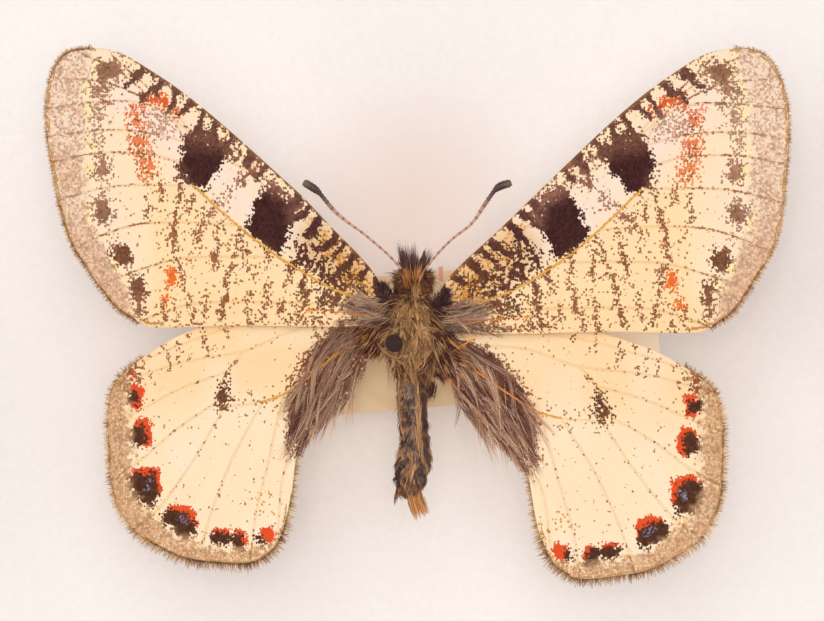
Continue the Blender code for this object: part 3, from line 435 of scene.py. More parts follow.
# %% Marks of the forewing: (layer, colour, share, softness, half width or None for a patch, shapes)
BLACK, BROWN, PURPLE, OCHRE, ORANGE = "#3d2120", "#8c563c", "#4a2a2a", "#d8923a", "#e57d4c"
RED, BLUE, CREAM = "#e0522a", "#9a97b4", "#f8dcb2"
FORE_MARKS = [
    ("dark", BLACK, 1.15, 0.8, None, [
        [(12.0, 8.9), (12.4, 8.4), (13.0, 7.8), (13.0, 7.0), (13.5, 6.2), (13.6, 5.7), (12.8, 5.0),
         (11.5, 4.1),
         (11.0, 4.1), (10.6, 5.2), (10.1, 5.9), (9.9, 6.8), (10.2, 7.7), (10.9, 8.5)],
        [(15.0, 11.6), (15.4, 12.1), (16.2, 12.3), (17.0, 12.4), (17.9, 12.6), (18.3, 11.8), (18.5, 11.2),
         (18.4, 10.5), (18.1, 9.6), (17.2, 9.0), (16.6, 9.2), (16.2, 9.8), (15.7, 10.3), (15.2, 10.9)]]),
    ("dark", "#85594a", 0.82, 0.9, None, [
        [(8.6, 7.4), (9.4, 6.8), (10.2, 6.5), (10.4, 8.0), (12.2, 8.9), (12.0, 9.6), (11.2, 9.9),
         (9.8, 8.8)]]),
    ("dark", "#6b4537", 0.85, 0.9, None, [
        [(14.4, 12.3), (15.2, 11.7), (18.4, 12.2), (18.1, 13.2), (16.8, 14.2), (15.4, 13.4)]]),
    ("mottled", "#7d5140", 0.9, 0.8, None, [
        [(12.9, 11.6), (14.0, 12.8), (15.2, 12.4), (15.0, 11.3), (13.8, 11.2)],
        [(17.4, 9.0), (18.9, 9.6), (18.8, 11.0), (18.2, 10.9), (17.9, 9.9)]]),
    ("mottled", "#8d5f4b", 1.0, 0.7, None, [
        [(11.8, 11.1), (12.5, 11.5), (13.6, 10.4), (14.2, 9.6), (13.6, 9.1), (12.6, 10.0)]]),
    ("dark", "#a0725c", 0.66, 0.8, None, [
        [(14.2, 9.2), (15.0, 9.1), (15.8, 7.9), (15.4, 7.3), (14.8, 7.7)],
        [(15.8, 7.4), (16.4, 6.4), (16.9, 6.2), (16.6, 7.2)]]),
    ("mottled", "#502e28", 0.76, 0.8, None, [
        [(7.0, 5.2), (8.2, 5.6), (9.2, 5.4), (10.0, 4.6), (8.9, 3.9), (7.6, 3.9), (6.8, 4.4)],
        [(7.8, 2.9), (8.0, 4.2), (9.4, 4.5), (10.3, 4.2), (10.4, 3.1), (9.2, 2.4)],
        [(3.4, 0.6), (3.7, 1.6), (5.4, 2.8), (7.2, 4.0), (9.4, 3.6), (8.6, 2.2), (6.4, 0.9), (4.6, 0.3)]]),
    ("mottled", "#5a382e", 0.58, 0.8, None, [
        [(5.6, -0.4), (6.0, 1.4), (7.6, 2.0), (8.5, 1.6), (8.6, -0.3)],
        [(9.2, -0.5), (9.0, 1.6), (10.0, 1.9), (10.3, -0.4)]]),
    ("dark", "#5a3630", 0.62, 0.6, 0.3, [
        [(6.1, 2.6), (7.2, 1.7)], [(5.0, 2.2), (6.2, 1.2)], [(7.4, 3.6), (8.8, 2.5)],
        [(9.1, 2.4), (9.6, 1.7)],
        [(9.8, 3.0), (10.7, 2.3)], [(6.2, 0.8), (6.7, 0.1)], [(7.0, 1.1), (8.1, 0.2)],
        [(8.0, 5.3), (9.6, 3.9)],
        [(6.5, 3.4), (7.6, 3.0)], [(2.5, 1.5), (2.3, 0.2)]]),
    ("dark", PURPLE, 1.1, 0.4, 0.42, [
        [(3.3, 2.7), (4.0, 2.1)], [(4.3, 3.8), (5.6, 2.7)], [(6.0, 5.2), (7.2, 4.3)],
        [(7.5, 6.6), (8.2, 5.9)],
        [(2.5, 1.7), (2.4, 0.4)]]),
    ("dark", PURPLE, 1.05, 0.4, 0.32, [
        [(5.2, 4.7), (6.3, 3.8)], [(8.1, 6.1), (8.8, 5.3)], [(8.4, 7.4), (9.6, 6.6)],
        [(9.2, 8.3), (9.8, 7.6)]]),
    ("dark", "#552f28", 1.1, 0.5, None, [[(0.4, -1.2), (0.4, 0.8), (2.2, 1.3), (2.7, 0.4), (2.6, -1.2)]]),
    ("mottled", "#6a4639", 0.9, 0.6, 0.34, [
        [(3.0, 3.0), (5.0, 4.9), (8.0, 7.7), (11.0, 10.5), (14.0, 13.2), (18.0, 16.6), (21.0, 18.6)]]),
    ("dark", "#664137", 1.0, 0.4, 0.32, [
        [(11.5, 10.9), (12.5, 9.9)], [(12.3, 12.0), (13.3, 10.7)], [(12.9, 11.7), (13.3, 10.9)],
        [(14.1, 13.2), (15.0, 12.1)], [(16.2, 14.9), (17.0, 13.7)], [(17.1, 15.8), (18.2, 14.9)],
        [(18.1, 16.7), (19.1, 15.0)], [(19.2, 17.5), (20.0, 16.5)], [(20.0, 17.1), (21.2, 16.0)],
        [(20.8, 18.6), (21.5, 18.0)], [(20.9, 18.0), (22.4, 17.1)], [(15.3, 14.3), (15.8, 12.9)]]),
    ("dark", "#a97d62", 0.4, 0.7, 0.34, [
        [(25.0, 16.6), (24.6, 15.0), (25.1, 13.2), (24.8, 11.5), (24.9, 9.4), (24.9, 7.4)],
        [(24.8, 6.2), (24.4, 5.0), (23.7, 3.6), (23.3, 2.6), (22.8, 1.4), (22.8, -0.5)],
        [(23.2, 18.3), (24.4, 17.2)]]),
    ("dark", "#9a7058", 0.86, 1.0, None, [
        [(22.1, 18.6), (22.8, 19.1), (24.3, 19.1), (24.7, 18.2), (24.2, 17.3), (22.9, 17.4)],
        [(23.6, 16.9), (24.2, 17.4), (25.1, 17.3), (25.2, 16.5), (24.2, 16.2)],
        [(24.1, 10.0), (24.2, 11.5), (25.3, 11.5), (25.5, 10.1), (24.8, 9.8)],
        [(24.2, 7.0), (24.4, 8.2), (25.2, 8.4), (25.9, 7.7), (25.8, 6.7), (24.9, 6.4)],
        [(23.4, 15.7), (23.8, 16.0), (23.8, 15.6)]]),
    ("dark", "#ac866c", 0.62, 1.0, None, [
        [(23.9, 14.2), (24.2, 15.8), (25.3, 15.8), (25.5, 14.3), (24.8, 14.0)],
        [(24.6, 12.4), (24.7, 13.7), (25.5, 13.6), (25.4, 12.4)]]),
    ("dark", "#74452f", 0.84, 0.9, None, [
        [(22.9, 3.7), (23.3, 4.7), (24.2, 4.8), (24.7, 4.0), (24.3, 3.1), (23.4, 3.0)],
        [(22.2, 0.9), (22.5, 2.3), (23.3, 2.2), (23.3, 0.9), (22.7, 0.6)],
        [(22.4, -0.6), (22.5, 0.8), (23.2, 0.7), (23.2, -0.6)]]),
    ("dark", "#5f3b2b", 0.85, 0.8, None, [
        [(23.2, 3.4), (23.4, 4.5), (24.2, 4.6), (24.5, 3.8), (24.0, 3.1)],
        [(22.8, 18.2), (23.4, 18.8), (24.3, 18.5), (24.0, 17.7)],
        [(24.4, 7.2), (24.7, 8.0), (25.4, 7.7), (25.2, 6.9)],
        [(22.5, 1.3), (22.7, 2.0), (23.1, 1.8), (23.0, 1.0)]]),
    ("dark", BROWN, 0.79, 0.5, 0.27, [
        [(18.6, 9.3), (18.9, 8.0), (19.0, 7.5), (19.4, 6.2), (19.7, 4.6), (19.3, 3.0), (18.9, 0.8),
         (18.5, -1.2)],
        [(17.0, 7.3), (17.2, 6.3), (17.6, 5.8), (17.6, 4.8)],
        [(16.0, 5.1), (16.2, 4.4), (16.5, 3.6), (16.5, 2.8)],
        [(14.1, 5.8), (14.5, 4.8), (14.9, 3.6), (15.1, 2.8), (15.5, 2.4), (15.8, 1.7), (15.6, 0.8),
         (15.9, 0.0), (16.3, -1.0)],
        [(17.3, 1.0), (17.6, 0.0), (17.6, -0.9)], [(12.3, 1.7), (12.6, 1.0), (12.3, 0.0)],
        [(13.7, 0.9), (14.2, 0.3), (14.1, -0.6), (14.2, -1.4)], [(10.4, 3.2), (10.4, 2.4), (10.9, 1.5)],
        [(9.3, 2.4), (9.5, 1.9)], [(9.6, 1.3), (9.4, 0.8), (9.6, 0.0), (10.0, -0.9)],
        [(11.3, 0.3), (11.6, -0.6)],
        [(13.9, 4.8), (14.0, 3.6), (13.8, 2.4)], [(12.3, 4.4), (12.2, 3.6), (12.3, 2.8)],
        [(20.2, 9.6), (20.2, 8.3)],
        [(19.9, 0.0), (20.0, -1.0)], [(20.8, 0.0), (20.9, -1.1)], [(12.9, -0.1), (13.1, -1.2)],
        [(16.0, 7.9), (16.6, 7.0)], [(15.7, 6.3), (16.1, 5.6)], [(17.8, 8.4), (18.0, 7.2)],
        [(21.4, 8.6), (21.5, 6.9)]]),
    ("dark", BROWN, 0.74, 0.5, 0.28, [
        [(19.2, 7.0), (19.7, 5.2)], [(15.9, 0.6), (16.4, -0.9)], [(12.4, 0.6), (12.5, 0.1)],
        [(16.2, 4.2), (16.5, 3.4)]]),
    ("dark", "#b98e78", 0.6, 1.0, None, [
        [(18.5, 13.3), (20.6, 13.0), (21.0, 14.4), (20.2, 15.3), (18.9, 14.9)]]),
    ("dark", BROWN, 0.22, 0.8, None,
     [[(20.6, 10.0), (21.0, 15.2), (22.3, 15.2), (22.3, 12.0), (21.9, 9.9)]]),
    ("dark", "#82543c", 0.45, 1.0, None, [
        [(3.4, -0.9), (3.4, 0.6), (8.4, 1.2), (8.6, -0.6)],
        [(8.0, -0.9), (11.5, -0.6), (11.0, -1.5), (8.0, -1.7)]]),
    ("dark", BROWN, 0.55, 0.5, 0.3, [[(3.0, -1.25), (6.0, -1.35), (10.5, -1.3)]]),
    ("dark", BROWN, 0.42, 0.4, 0.12, [[(10.5, -1.45), (15.0, -1.5), (21.5, -1.6)]]),
    ("tint", "#d9602c", 1.0, 0.8, None, [
        [(18.0, 14.9), (18.2, 15.5), (18.7, 15.4), (18.5, 14.8)],
        [(18.7, 15.3), (19.1, 16.3), (19.7, 16.1), (19.4, 15.2)],
        [(19.4, 16.0), (19.8, 16.7), (20.3, 16.2), (19.9, 15.8)],
        [(20.2, 15.7), (20.4, 16.6), (21.1, 16.5), (20.9, 15.7)]]),
    ("tint", ORANGE, 0.74, 1.0, None, [
        [(20.9, 13.8), (21.1, 15.6), (22.2, 15.5), (22.4, 13.9)],
        [(20.7, 12.0), (20.9, 13.6), (22.4, 13.4), (22.3, 11.9)],
        [(20.3, 9.8), (20.5, 11.7), (22.1, 11.8), (21.8, 9.8)]]),
    ("tint", "#e86f2e", 1.0, 0.7, None, [
        [(19.5, 1.7), (19.6, 3.0), (20.3, 3.0), (20.4, 1.7), (20.0, 1.4)],
        [(20.2, 0.8), (20.5, 1.2), (21.0, 0.4), (21.0, -0.1), (20.6, 0.1)]]),
    ("tint", ORANGE, 0.3, 0.6, None, [[(19.0, 4.8), (19.2, 5.3), (19.6, 5.2), (19.5, 4.7)]]),
    ("tint", "#cf8c3c", 0.5, 1.2, None,
     [[(3.2, 0.6), (3.6, 2.4), (6.4, 4.2), (8.4, 5.6), (8.2, 4.2), (5.8, 1.6), (4.8, 0.4)]]),
    ("tint", OCHRE, 0.8, 0.4, 0.12, [
        [(3.5, 1.3), (4.6, 2.2)], [(4.2, 1.9), (5.2, 2.8)], [(5.6, 2.4), (6.0, 3.8)],
        [(6.2, 3.9), (7.4, 5.0)],
        [(4.0, 0.9), (5.4, 1.9)], [(3.6, 2.1), (4.4, 1.3)], [(6.9, 5.0), (7.4, 6.0)],
        [(8.3, 6.6), (8.7, 5.6)]]),
    ("tint", "#d4803a", 1.0, 0.3, 0.16, [[(5.2, -0.9), (6.6, -0.65), (8.4, -0.45), (9.3, -0.5)]]),
    ("tint", "#f7e1a2", 1.0, 0.7, None, [
        [(24.1, 17.7), (24.0, 19.0), (24.5, 19.0), (24.8, 18.0)],
        [(25.2, 16.2), (25.2, 17.4), (25.7, 17.2), (25.7, 16.3)],
        [(25.4, 14.4), (25.3, 16.0), (25.8, 15.8), (25.8, 14.5)],
        [(25.4, 10.0), (25.3, 11.3), (26.0, 11.1), (26.1, 10.1)],
        [(25.4, 12.0), (25.4, 13.2), (25.8, 13.1), (25.8, 12.1)],
        [(25.9, 6.0), (25.6, 7.9), (26.2, 7.6), (26.3, 6.2)],
        [(24.2, 2.8), (24.5, 4.1), (25.0, 3.8), (24.8, 2.9)],
        [(23.3, 1.3), (23.3, 2.1), (23.8, 2.0), (23.8, 1.3)]]),
]

# %% Marks of the hindwing
# crescent's outer corner points and black centre; every spot as (red patch, black patch, blue stroke)
OCELLI = [
    ([(21.0, -6.5), (21.0, -8.1), (21.6, -8.3), (22.0, -8.1), (22.0, -6.5), (21.6, -6.3)],
     [(21.4, -6.9), (21.4, -7.8), (22.1, -7.8), (22.2, -6.9)], None),
    ([(20.35, -9.6), (20.4, -10.9), (20.9, -11.2), (21.6, -11.0), (22.0, -9.4), (21.5, -8.9), (20.8, -8.9)],
     [(20.95, -9.7), (20.95, -10.9), (21.6, -11.15), (22.1, -10.6), (22.0, -9.7), (21.5, -9.4)], None),
    ([(19.85, -13.4), (20.0, -14.9), (20.7, -14.9), (22.2, -13.8), (22.0, -12.9), (21.0, -12.7),
      (20.3, -12.8)],
     [(20.45, -13.4), (20.25, -15.0), (20.6, -15.7), (21.5, -15.5), (22.3, -14.2), (22.35, -13.4),
      (21.5, -13.1)],
     [(20.75, -13.9), (21.1, -14.45)]),
    ([(17.2, -16.4), (17.2, -17.5), (17.8, -17.8), (19.6, -16.6), (19.3, -15.9), (18.1, -15.7)],
     [(17.4, -17.2), (17.35, -18.1), (18.2, -18.3), (19.7, -17.2), (19.9, -16.5), (19.2, -16.2),
      (18.2, -16.5)],
     [(18.0, -17.2), (18.6, -16.8)]),
    ([(14.6, -18.0), (14.5, -18.7), (15.6, -18.4), (16.1, -18.0), (15.3, -17.7)],
     [(14.5, -18.5), (14.7, -19.1), (15.8, -19.0), (16.1, -18.4), (15.3, -18.1)], None),
    ([(13.2, -18.2), (13.2, -19.3), (13.8, -19.2), (14.3, -18.5), (13.9, -18.0)],
     [(13.5, -18.7), (13.5, -19.6), (14.2, -19.3), (14.5, -18.6), (14.0, -18.3)], None),
    ([(10.9, -18.4), (11.0, -19.0), (11.7, -19.2), (12.2, -18.7), (11.9, -18.0), (11.3, -17.9)],
     [(12.0, -18.5), (11.8, -19.2), (12.3, -19.1), (12.5, -18.5)], None),
]
HAIR_ZONE = [(2.7, -3.2), (5.5, -3.0), (6.6, -3.6), (7.8, -5.0), (9.0, -7.0), (9.3, -9.0), (9.5, -11.5),
             (9.0, -12.2), (8.0, -11.5), (7.0, -10.4), (5.8, -9.4), (4.8, -8.9), (4.0, -7.8), (3.2, -6.6),
             (2.8, -5.2)]
HIND_MARKS = [
    ("dark", "#714436", 0.8, 1.1, None, [HAIR_ZONE]),
    ("mottled", BROWN, 0.8, 0.6, None,
     [[(20.8, -4.5), (22.3, -4.8), (23.4, -6.1), (22.6, -6.7), (21.3, -6.2)]]),
    ("dark", "#552f28", 1.1, 0.6, None,
     [[(0.6, -1.7), (2.6, -1.8), (3.4, -2.6), (3.8, -4.4), (2.8, -5.4), (0.6, -3.8)]]),
    ("dark", BROWN, 0.9, 0.35, 0.14, [
        [(14.15, -2.0), (14.1, -3.3)], [(16.1, -2.4), (15.9, -3.4), (15.7, -4.4)],
        [(18.3, -3.1), (17.9, -4.0)], [(18.0, -4.4), (18.0, -5.1)],
        [(19.5, -3.5), (19.0, -4.0), (18.8, -5.2)], [(20.5, -3.9), (20.4, -4.3)],
        [(17.1, -2.5), (17.1, -2.8)], [(12.4, -1.9), (12.4, -2.4)], [(10.5, -2.3), (10.2, -2.8)],
        [(17.3, -4.4), (17.3, -4.8)], [(20.4, -5.4), (20.4, -5.9)], [(16.3, -3.0), (16.2, -3.8)],
        [(13.4, -5.0), (14.2, -5.8), (14.5, -6.5)]]),
    ("dark", "#5f3a2b", 0.76, 0.8, None, [
        [(14.1, -6.4), (14.0, -8.1), (14.4, -8.8), (15.2, -8.5), (15.4, -7.5), (14.8, -6.5)]]),
    ("dark", BROWN, 0.8, 0.25, 0.08, [
        [(18.0, -7.0), (18.1, -7.0)], [(20.3, -7.8), (20.4, -7.8)], [(18.6, -10.1), (18.7, -10.1)],
        [(20.2, -11.3), (20.3, -11.3)], [(16.5, -11.6), (16.6, -11.6)], [(15.2, -10.0), (15.3, -10.0)],
        [(17.4, -12.5), (17.5, -12.5)], [(18.1, -13.3), (18.2, -13.3)], [(14.15, -12.65), (14.2, -12.7)],
        [(15.0, -14.7), (15.1, -14.7)], [(15.2, -15.4), (15.3, -15.4)], [(19.5, -15.4), (19.6, -15.4)],
        [(22.1, -6.3), (22.2, -6.3)]]),
    ("tint", RED, 1.05, 0.4, None,
     [red for red, _, _ in OCELLI] + [[(21.6, -5.3), (21.6, -5.8), (22.1, -5.6), (22.0, -5.2)]]),
    ("dark", "#7d5038", 0.35, 0.5, -0.1, [black for _, black, _ in OCELLI]),
    ("dark", "#2c1613", 1.05, 0.7, None, [black for _, black, _ in OCELLI]),
    ("tint", OCHRE, 0.22, 1.2, None, [[(11.0, -15.5), (12.3, -15.5), (12.3, -16.8), (11.0, -16.8)]]),
    ("tint", "#f3cf86", 0.8, 0.4, 0.16, [
        [(22.4, -9.0), (22.6, -9.6)], [(21.3, -12.2), (21.7, -12.4)], [(19.9, -16.0), (21.2, -15.9)],
        [(20.0, -17.3), (20.3, -16.6)], [(16.6, -18.4), (17.0, -19.4)], [(12.6, -19.0), (12.9, -19.8)],
        [(22.8, -13.1), (22.9, -13.8)], [(14.2, -19.7), (14.3, -20.0)]]),
]
BLUE_STROKES = [stroke for _, _, stroke in OCELLI if stroke]
# The grey margin's inner edge, from the tip down to the hind corner
FORE_BAND = [(24.6, 21.0), (24.9, 19.4), (25.4, 17.6), (25.9, 15.0), (26.1, 12.0), (26.1, 9.5), (26.3, 7.4),
             (25.7, 5.4), (24.8, 3.4), (23.8, 1.4), (23.4, -0.4), (23.2, -3.0), (34.0, -3.0), (34.0, 21.0)]
HIND_BAND = [(22.4, -4.0), (22.3, -6.0), (22.3, -9.0), (22.2, -11.6), (22.5, -13.6), (21.4, -15.9),
             (20.2, -17.0), (18.6, -18.4), (16.6, -19.1), (14.6, -19.5), (12.4, -19.5), (10.8, -19.3),
             (9.6, -18.4), (8.0, -24.0), (27.0, -24.0), (27.0, -4.0)]
print(sum(len(shapes) for *_, shapes in FORE_MARKS), "shapes on a forewing,",
      sum(len(shapes) for *_, shapes in HIND_MARKS), "on a hindwing")

# %% [markdown]
# ### From shapes to scales
#
# A patch's share is full inside and fades over its softness. The points are first shifted by a little noise,
# so that no edge runs straight, as no real one does. Where marks meet, their shares add like layers of dots:
# one minus the product of what each leaves free.

# %% Shares of dark and coloured scales at every point
VEIN_OCHRE, VEIN_BROWN, WHITISH, LOOSE = "#e0a244", "#8f5f3e", "#f4dcc8", "#a46c38"


def lay(points, marks, seed):
    """For each layer the share of its scales, and their colour as the mean of its marks weighted by share."""
    sway = np.stack([lattice_noise(points, 0.45, seed), lattice_noise(points, 0.45, seed + 1)], 1) - 0.5
    spots = points + 0.34 * sway
    made = {layer: [np.zeros(len(points)), 1e-9 * np.tile(linear(base), (len(points), 1))]
            for layer, base in (("dark", BROWN), ("tint", OCHRE))}
    totals = {layer: np.full(len(points), 1e-9) for layer in made}
    net = ease(lattice_noise(points, 0.22, seed + 3), 0.2, 0.62)
    for layer, colour, share, soft, half, shapes in marks:
        share = share * net if layer == "mottled" else share
        layer = "dark" if layer == "mottled" else layer
        patch = half is None or half < 0
        for shape in shapes:
            deep = depth_inside(spots, shape) - (half or 0) if patch else half - path_distance(spots, shape)
            here = share * np.clip(deep / soft + (0.5 if patch else 0.3), 0, 1)
            made[layer][0] = 1 - (1 - made[layer][0]) * (1 - np.clip(here, 0, 0.995))
            made[layer][1] += here[:, None] * linear(colour)
            totals[layer] += here
    for layer in made:
        made[layer][1] /= totals[layer][:, None]
    return made


def mix_in(layer, extra, colour):
    """Adds dots of one colour to a layer: its colour moves by their part of the new total share."""
    mix = extra / (layer[0] + extra + 1e-6)
    move_towards(layer[1], mix, colour)
    layer[0] = 1 - (1 - layer[0]) * (1 - extra)


WHITE_AXIS = [(9.3, 5.2), (13.8, 8.0), (15.2, 9.6), (19.5, 13.6), (22.6, 16.2)]
BELOW_CELL = [(8.0, 2.4), (14.4, 6.2), (17.6, 9.2), (21.0, 9.2), (21.6, -1.0), (9.0, -1.2)]
# The thin margin's tone: (height on the forewing or place across the hindwing, colour, share of brown dots)
FORE_BAND_TONES = [(-1.0, "#d9b08e", 0.75), (2.0, "#deb594", 0.72), (8.0, "#e9ccb0", 0.62),
                   (14.0, "#eed4bd", 0.55), (20.0, "#ecd2bc", 0.55)]
HIND_BAND_TONES = [(9.0, "#ebc8a2", 0.6), (18.0, "#e3bd98", 0.66), (24.0, "#d9b28d", 0.7)]


def wing_fields(kind, flat, seed):
    """All fields of one wing: shares, colours, ground, vein ridge and the thin grey margin."""
    marks = FORE_MARKS if kind == "fore" else HIND_MARKS
    x, y = flat[:, 0], flat[:, 1]
    fields = lay(flat, marks, seed)
    vein = np.full(len(flat), 1e9)
    for path in VEINS[kind]:
        vein = np.minimum(vein, path_distance(flat, curve(path, 0.5)))
    rim = curve(EDGES[kind] + EDGES[kind][:1], 0.3)
    margin = path_distance(flat, rim)
    fine, broad = lattice_noise(flat, 0.5, seed + 5), lattice_noise(flat, 3.0, seed + 6)
    rough = 0.9 * (lattice_noise(flat, 0.35, seed + 7) - 0.5)   # the thin margin starts raggedly
    band = ease(depth_inside(flat, FORE_BAND if kind == "fore" else HIND_BAND) + rough, -0.45, 0.45)
    ground = linear(CREAM) * np.ones((len(flat), 1))
    sparse = np.random.default_rng(seed + 8).random(len(flat))
    dark = fields["dark"]
    if kind == "fore":
        white = np.clip(1.1 - path_distance(flat, WHITE_AXIS) / 3.2, 0, 1)
        move_towards(ground, np.maximum(white, 0.5 * ease(x, 21.0, 24.0)), WHITISH)
        move_towards(ground, 0.6 * ease(y, 3.0, -1.6), "#f6d09a")
        amber = ease(path_distance(flat, [(3.0, 0.4), (5.6, 2.8), (8.0, 4.6)]), 3.0, 0.8)
        move_towards(ground, 0.75 * amber, "#dcae78")
        costa = path_distance(flat, FORE_EDGE[3:12])
        edge_share = 0.6 * np.clip(1.1 - costa / 0.2, 0, 1) * ease(x, 26.0, 22.0)
        below = ease(depth_inside(flat, BELOW_CELL), -0.3, 0.3)
        move_towards(ground, 0.5 * below, "#f7d4a0")
        loose = 0.008 + 0.14 * ease(x, 9.5, 4.0) + (0.04 + 0.15 * ease(fine, 0.45, 0.9)) * below
        extra = np.clip(edge_share + loose * (1 - band), 0, 1)
        rows, levels = FORE_BAND_TONES, y
    else:
        warm = ease(y, -11.0, -6.0)
        move_towards(ground, 0.6 * warm, "#f6cf9c")
        move_towards(ground, 0.3 + 0.35 * ease(broad, 0.4, 0.9) - 0.3 * warm, "#f8e4ca")
        near = path_distance(flat, VEINS["hind"][5][2:]) < 1.0
        extra = 0.1 * near + 0.003 + 0.3 * np.clip(1 - np.abs(depth_inside(flat, HAIR_ZONE)) / 1.1, 0, 1)
        extra = extra * (1 - band)
        rows, levels = HIND_BAND_TONES, x
        for stroke in BLUE_STROKES:
            blue = np.clip(1.3 - path_distance(flat, stroke) / 0.25, 0, 1) * 0.8
            move_towards(dark[1], blue * (sparse < 0.35), BLUE)
        ends = band * ease(vein, 0.75, 0.2)
        move_towards(fields["tint"][1], ends, "#f2cd94")
        fields["tint"][0] = np.maximum(fields["tint"][0], 0.62 * ends)
    mix_in(dark, extra, LOOSE)
    rise = [level for level, _, _ in rows]
    tones = np.array([linear(code) for _, code, _ in rows])
    thin = np.stack([np.interp(levels, rise, tones[:, i]) for i in range(3)], 1)
    ground += band[:, None] * (thin - ground)
    dots = band * np.interp(levels, rise, [share for *_, share in rows]) * (0.7 + 0.6 * fine)
    mix_in(dark, dots, "#c9a286" if kind == "fore" else "#c09470")
    return fields, ground, vein, margin, band


GOLDEN = {"fore": FORE_VEINS[4], "hind": HIND_VEINS[5][:6]}


def finish_edges(kind, flat, fields, ground, vein, margin, band, seed):
    """Veins and the margin's line as more scales: one golden vein, the others pale and dashed brown."""
    x, y = flat.T
    dark, tint = fields["dark"], fields["tint"]
    outer = margin < 0.52
    if kind == "fore":
        outer &= (x > 24.4) | ((x > 21.0) & (y < 5))
    else:
        outer &= (x > 22.6) | ((y < -12.0) & (x > 9.9))
    line = (outer * np.clip(1.4 - np.abs(margin - 0.34) / 0.14, 0, 1)
            * (0.7 + 0.3 * lattice_noise(flat, 0.9, seed + 9)))
    move_towards(tint[1], line, "#b98a5a")
    tint[0] = np.maximum(tint[0], 0.9 * line)
    dark[0] *= 1 - 0.8 * line
    dashes = ease(lattice_noise(flat, 0.24, seed + 10), 0.2, 0.5)
    ridge = np.clip(1.4 - vein / 0.08, 0, 1)
    golden = path_distance(flat, curve(GOLDEN[kind], 0.3))
    rich = np.clip(1.7 - golden / 0.07, 0, 1)
    move_towards(ground, (0.42 if kind == "fore" else 0.3) * ridge * (1 - 0.8 * band), VEIN_OCHRE)
    move_towards(tint[1], rich, VEIN_OCHRE)
    tint[0] = np.maximum(tint[0], rich)
    dark[0] *= 1 - 0.95 * rich
    spread = (ease(x, 19.0, 21.5) * 0.85 if kind == "fore"
              else 0.2 * ease(x - 0.5 * y, 13.0, 18.0) + 0.5 * band)
    dashed = np.clip(1.5 - vein / 0.06, 0, 1) * (1 - rich) * dashes * spread
    mix_in(dark, dashed, VEIN_BROWN)
    return ridge


print(len(FORE_MARKS) + len(HIND_MARKS), "groups of marks ready to be laid")

# %% [markdown]
# ## The wing's finish
#
# Scales are flat chitin plates, matt with a faint silkiness. A Voronoi pattern gives each cell of about
# 0.17 mm one random number. Where that number is under the point's share, the cell carries a round dark
# scale, small where scales are few and filling its cell where they are many. One more number lightens or
# darkens each scale, which keeps large plain areas alive. The thin margin shows rows of tiny pale scales.

# %% Scaled membrane
SCALE_SIZE = 0.165   # width of a scale in mm; a scale is a seventh longer than wide
scaled, shader = new_material("scaled_wing_membrane", 0.7, 0.04)
place = add(scaled, "ShaderNodeMapping", Vector=object_place(scaled), Scale=(1.0, 0.87, 1.0)).outputs[0]
cells = add(scaled, "ShaderNodeTexVoronoi", {"voronoi_dimensions": "2D"}, Vector=place,
            Scale=1 / (SCALE_SIZE * MM), Randomness=0.8)
cast = add(scaled, "ShaderNodeSeparateColor", in0=cells.outputs["Color"])
clumps = add(scaled, "ShaderNodeTexNoise", {"noise_dimensions": "2D"}, Vector=place, Scale=2600.0,
             Detail=1.0)


def reckon(operation, first, second, third=0.0):
    """One arithmetic step of the scaled finish."""
    return add(scaled, "ShaderNodeMath", {"operation": operation}, in0=first, in1=second,
               in2=third).outputs[0]


# a dot's radius alone and in a full patch, and its soft edge, in cells
DOT_LOOSE, DOT_FULL, DOT_EDGE = 0.56, 1.0, 0.08
surface, light = own_field(scaled, "ground"), steps(scaled, cast.outputs[2], 0.0, 1.0, 0.965, 1.0)
for layer, channel, loose, vary in (("tint", 1, 0.25, (0.94, 1.04)), ("dark", 0, 0.36, (0.8, 1.4))):
    share = own_field(scaled, layer, "Fac")
    drawn = reckon("ADD", cast.outputs[channel],
                   reckon("MULTIPLY_ADD", clumps.outputs["Fac"], loose, -0.45 * loose))
    there = reckon("LESS_THAN", drawn, reckon("MULTIPLY", share, 1.2))
    radius = steps(scaled, share, 0.6, 0.98, DOT_LOOSE, DOT_FULL)
    inner, outer = reckon("SUBTRACT", radius, DOT_EDGE), reckon("ADD", radius, DOT_EDGE)
    dot = steps(scaled, cells.outputs["Distance"], inner, outer, 1.0, 0.0)
    shade = add(scaled, "ShaderNodeVectorMath", {"operation": "SCALE"},
                in0=own_field(scaled, layer + "_colour"),
                Scale=steps(scaled, cast.outputs[2], 0.0, 1.0, *vary))
    surface = blend(scaled, reckon("MULTIPLY", there, dot), surface, shade.outputs[0])
net = steps(scaled, cells.outputs["Distance"], 0.25, 0.6, 1.0, -1.2)
varied = add(scaled, "ShaderNodeVectorMath", {"operation": "SCALE"}, in0=surface,
             Scale=reckon("MULTIPLY_ADD", net, own_field(scaled, "net", "Fac"), light))
paint(scaled, shader, varied.outputs[0])
rough_up(scaled, shader, cells.outputs["Distance"], 0.25, 0.00002)
print("one wing finish, scales of", SCALE_SIZE, "mm")

# %% [markdown]
# ## The four wings
#
# Two sheets 0.06 mm apart, closed round the rim, carry the pattern on both faces. The membrane sags a little
# between veins and each vein stands up as a fine ridge; a few long waves keep the wings from looking cut
# out of card.

# %% Wings
MEMBRANE = 0.06
VEIN_RISE, SAG = 0.1, 0.07   # of a vein over the membrane, and of the membrane between veins
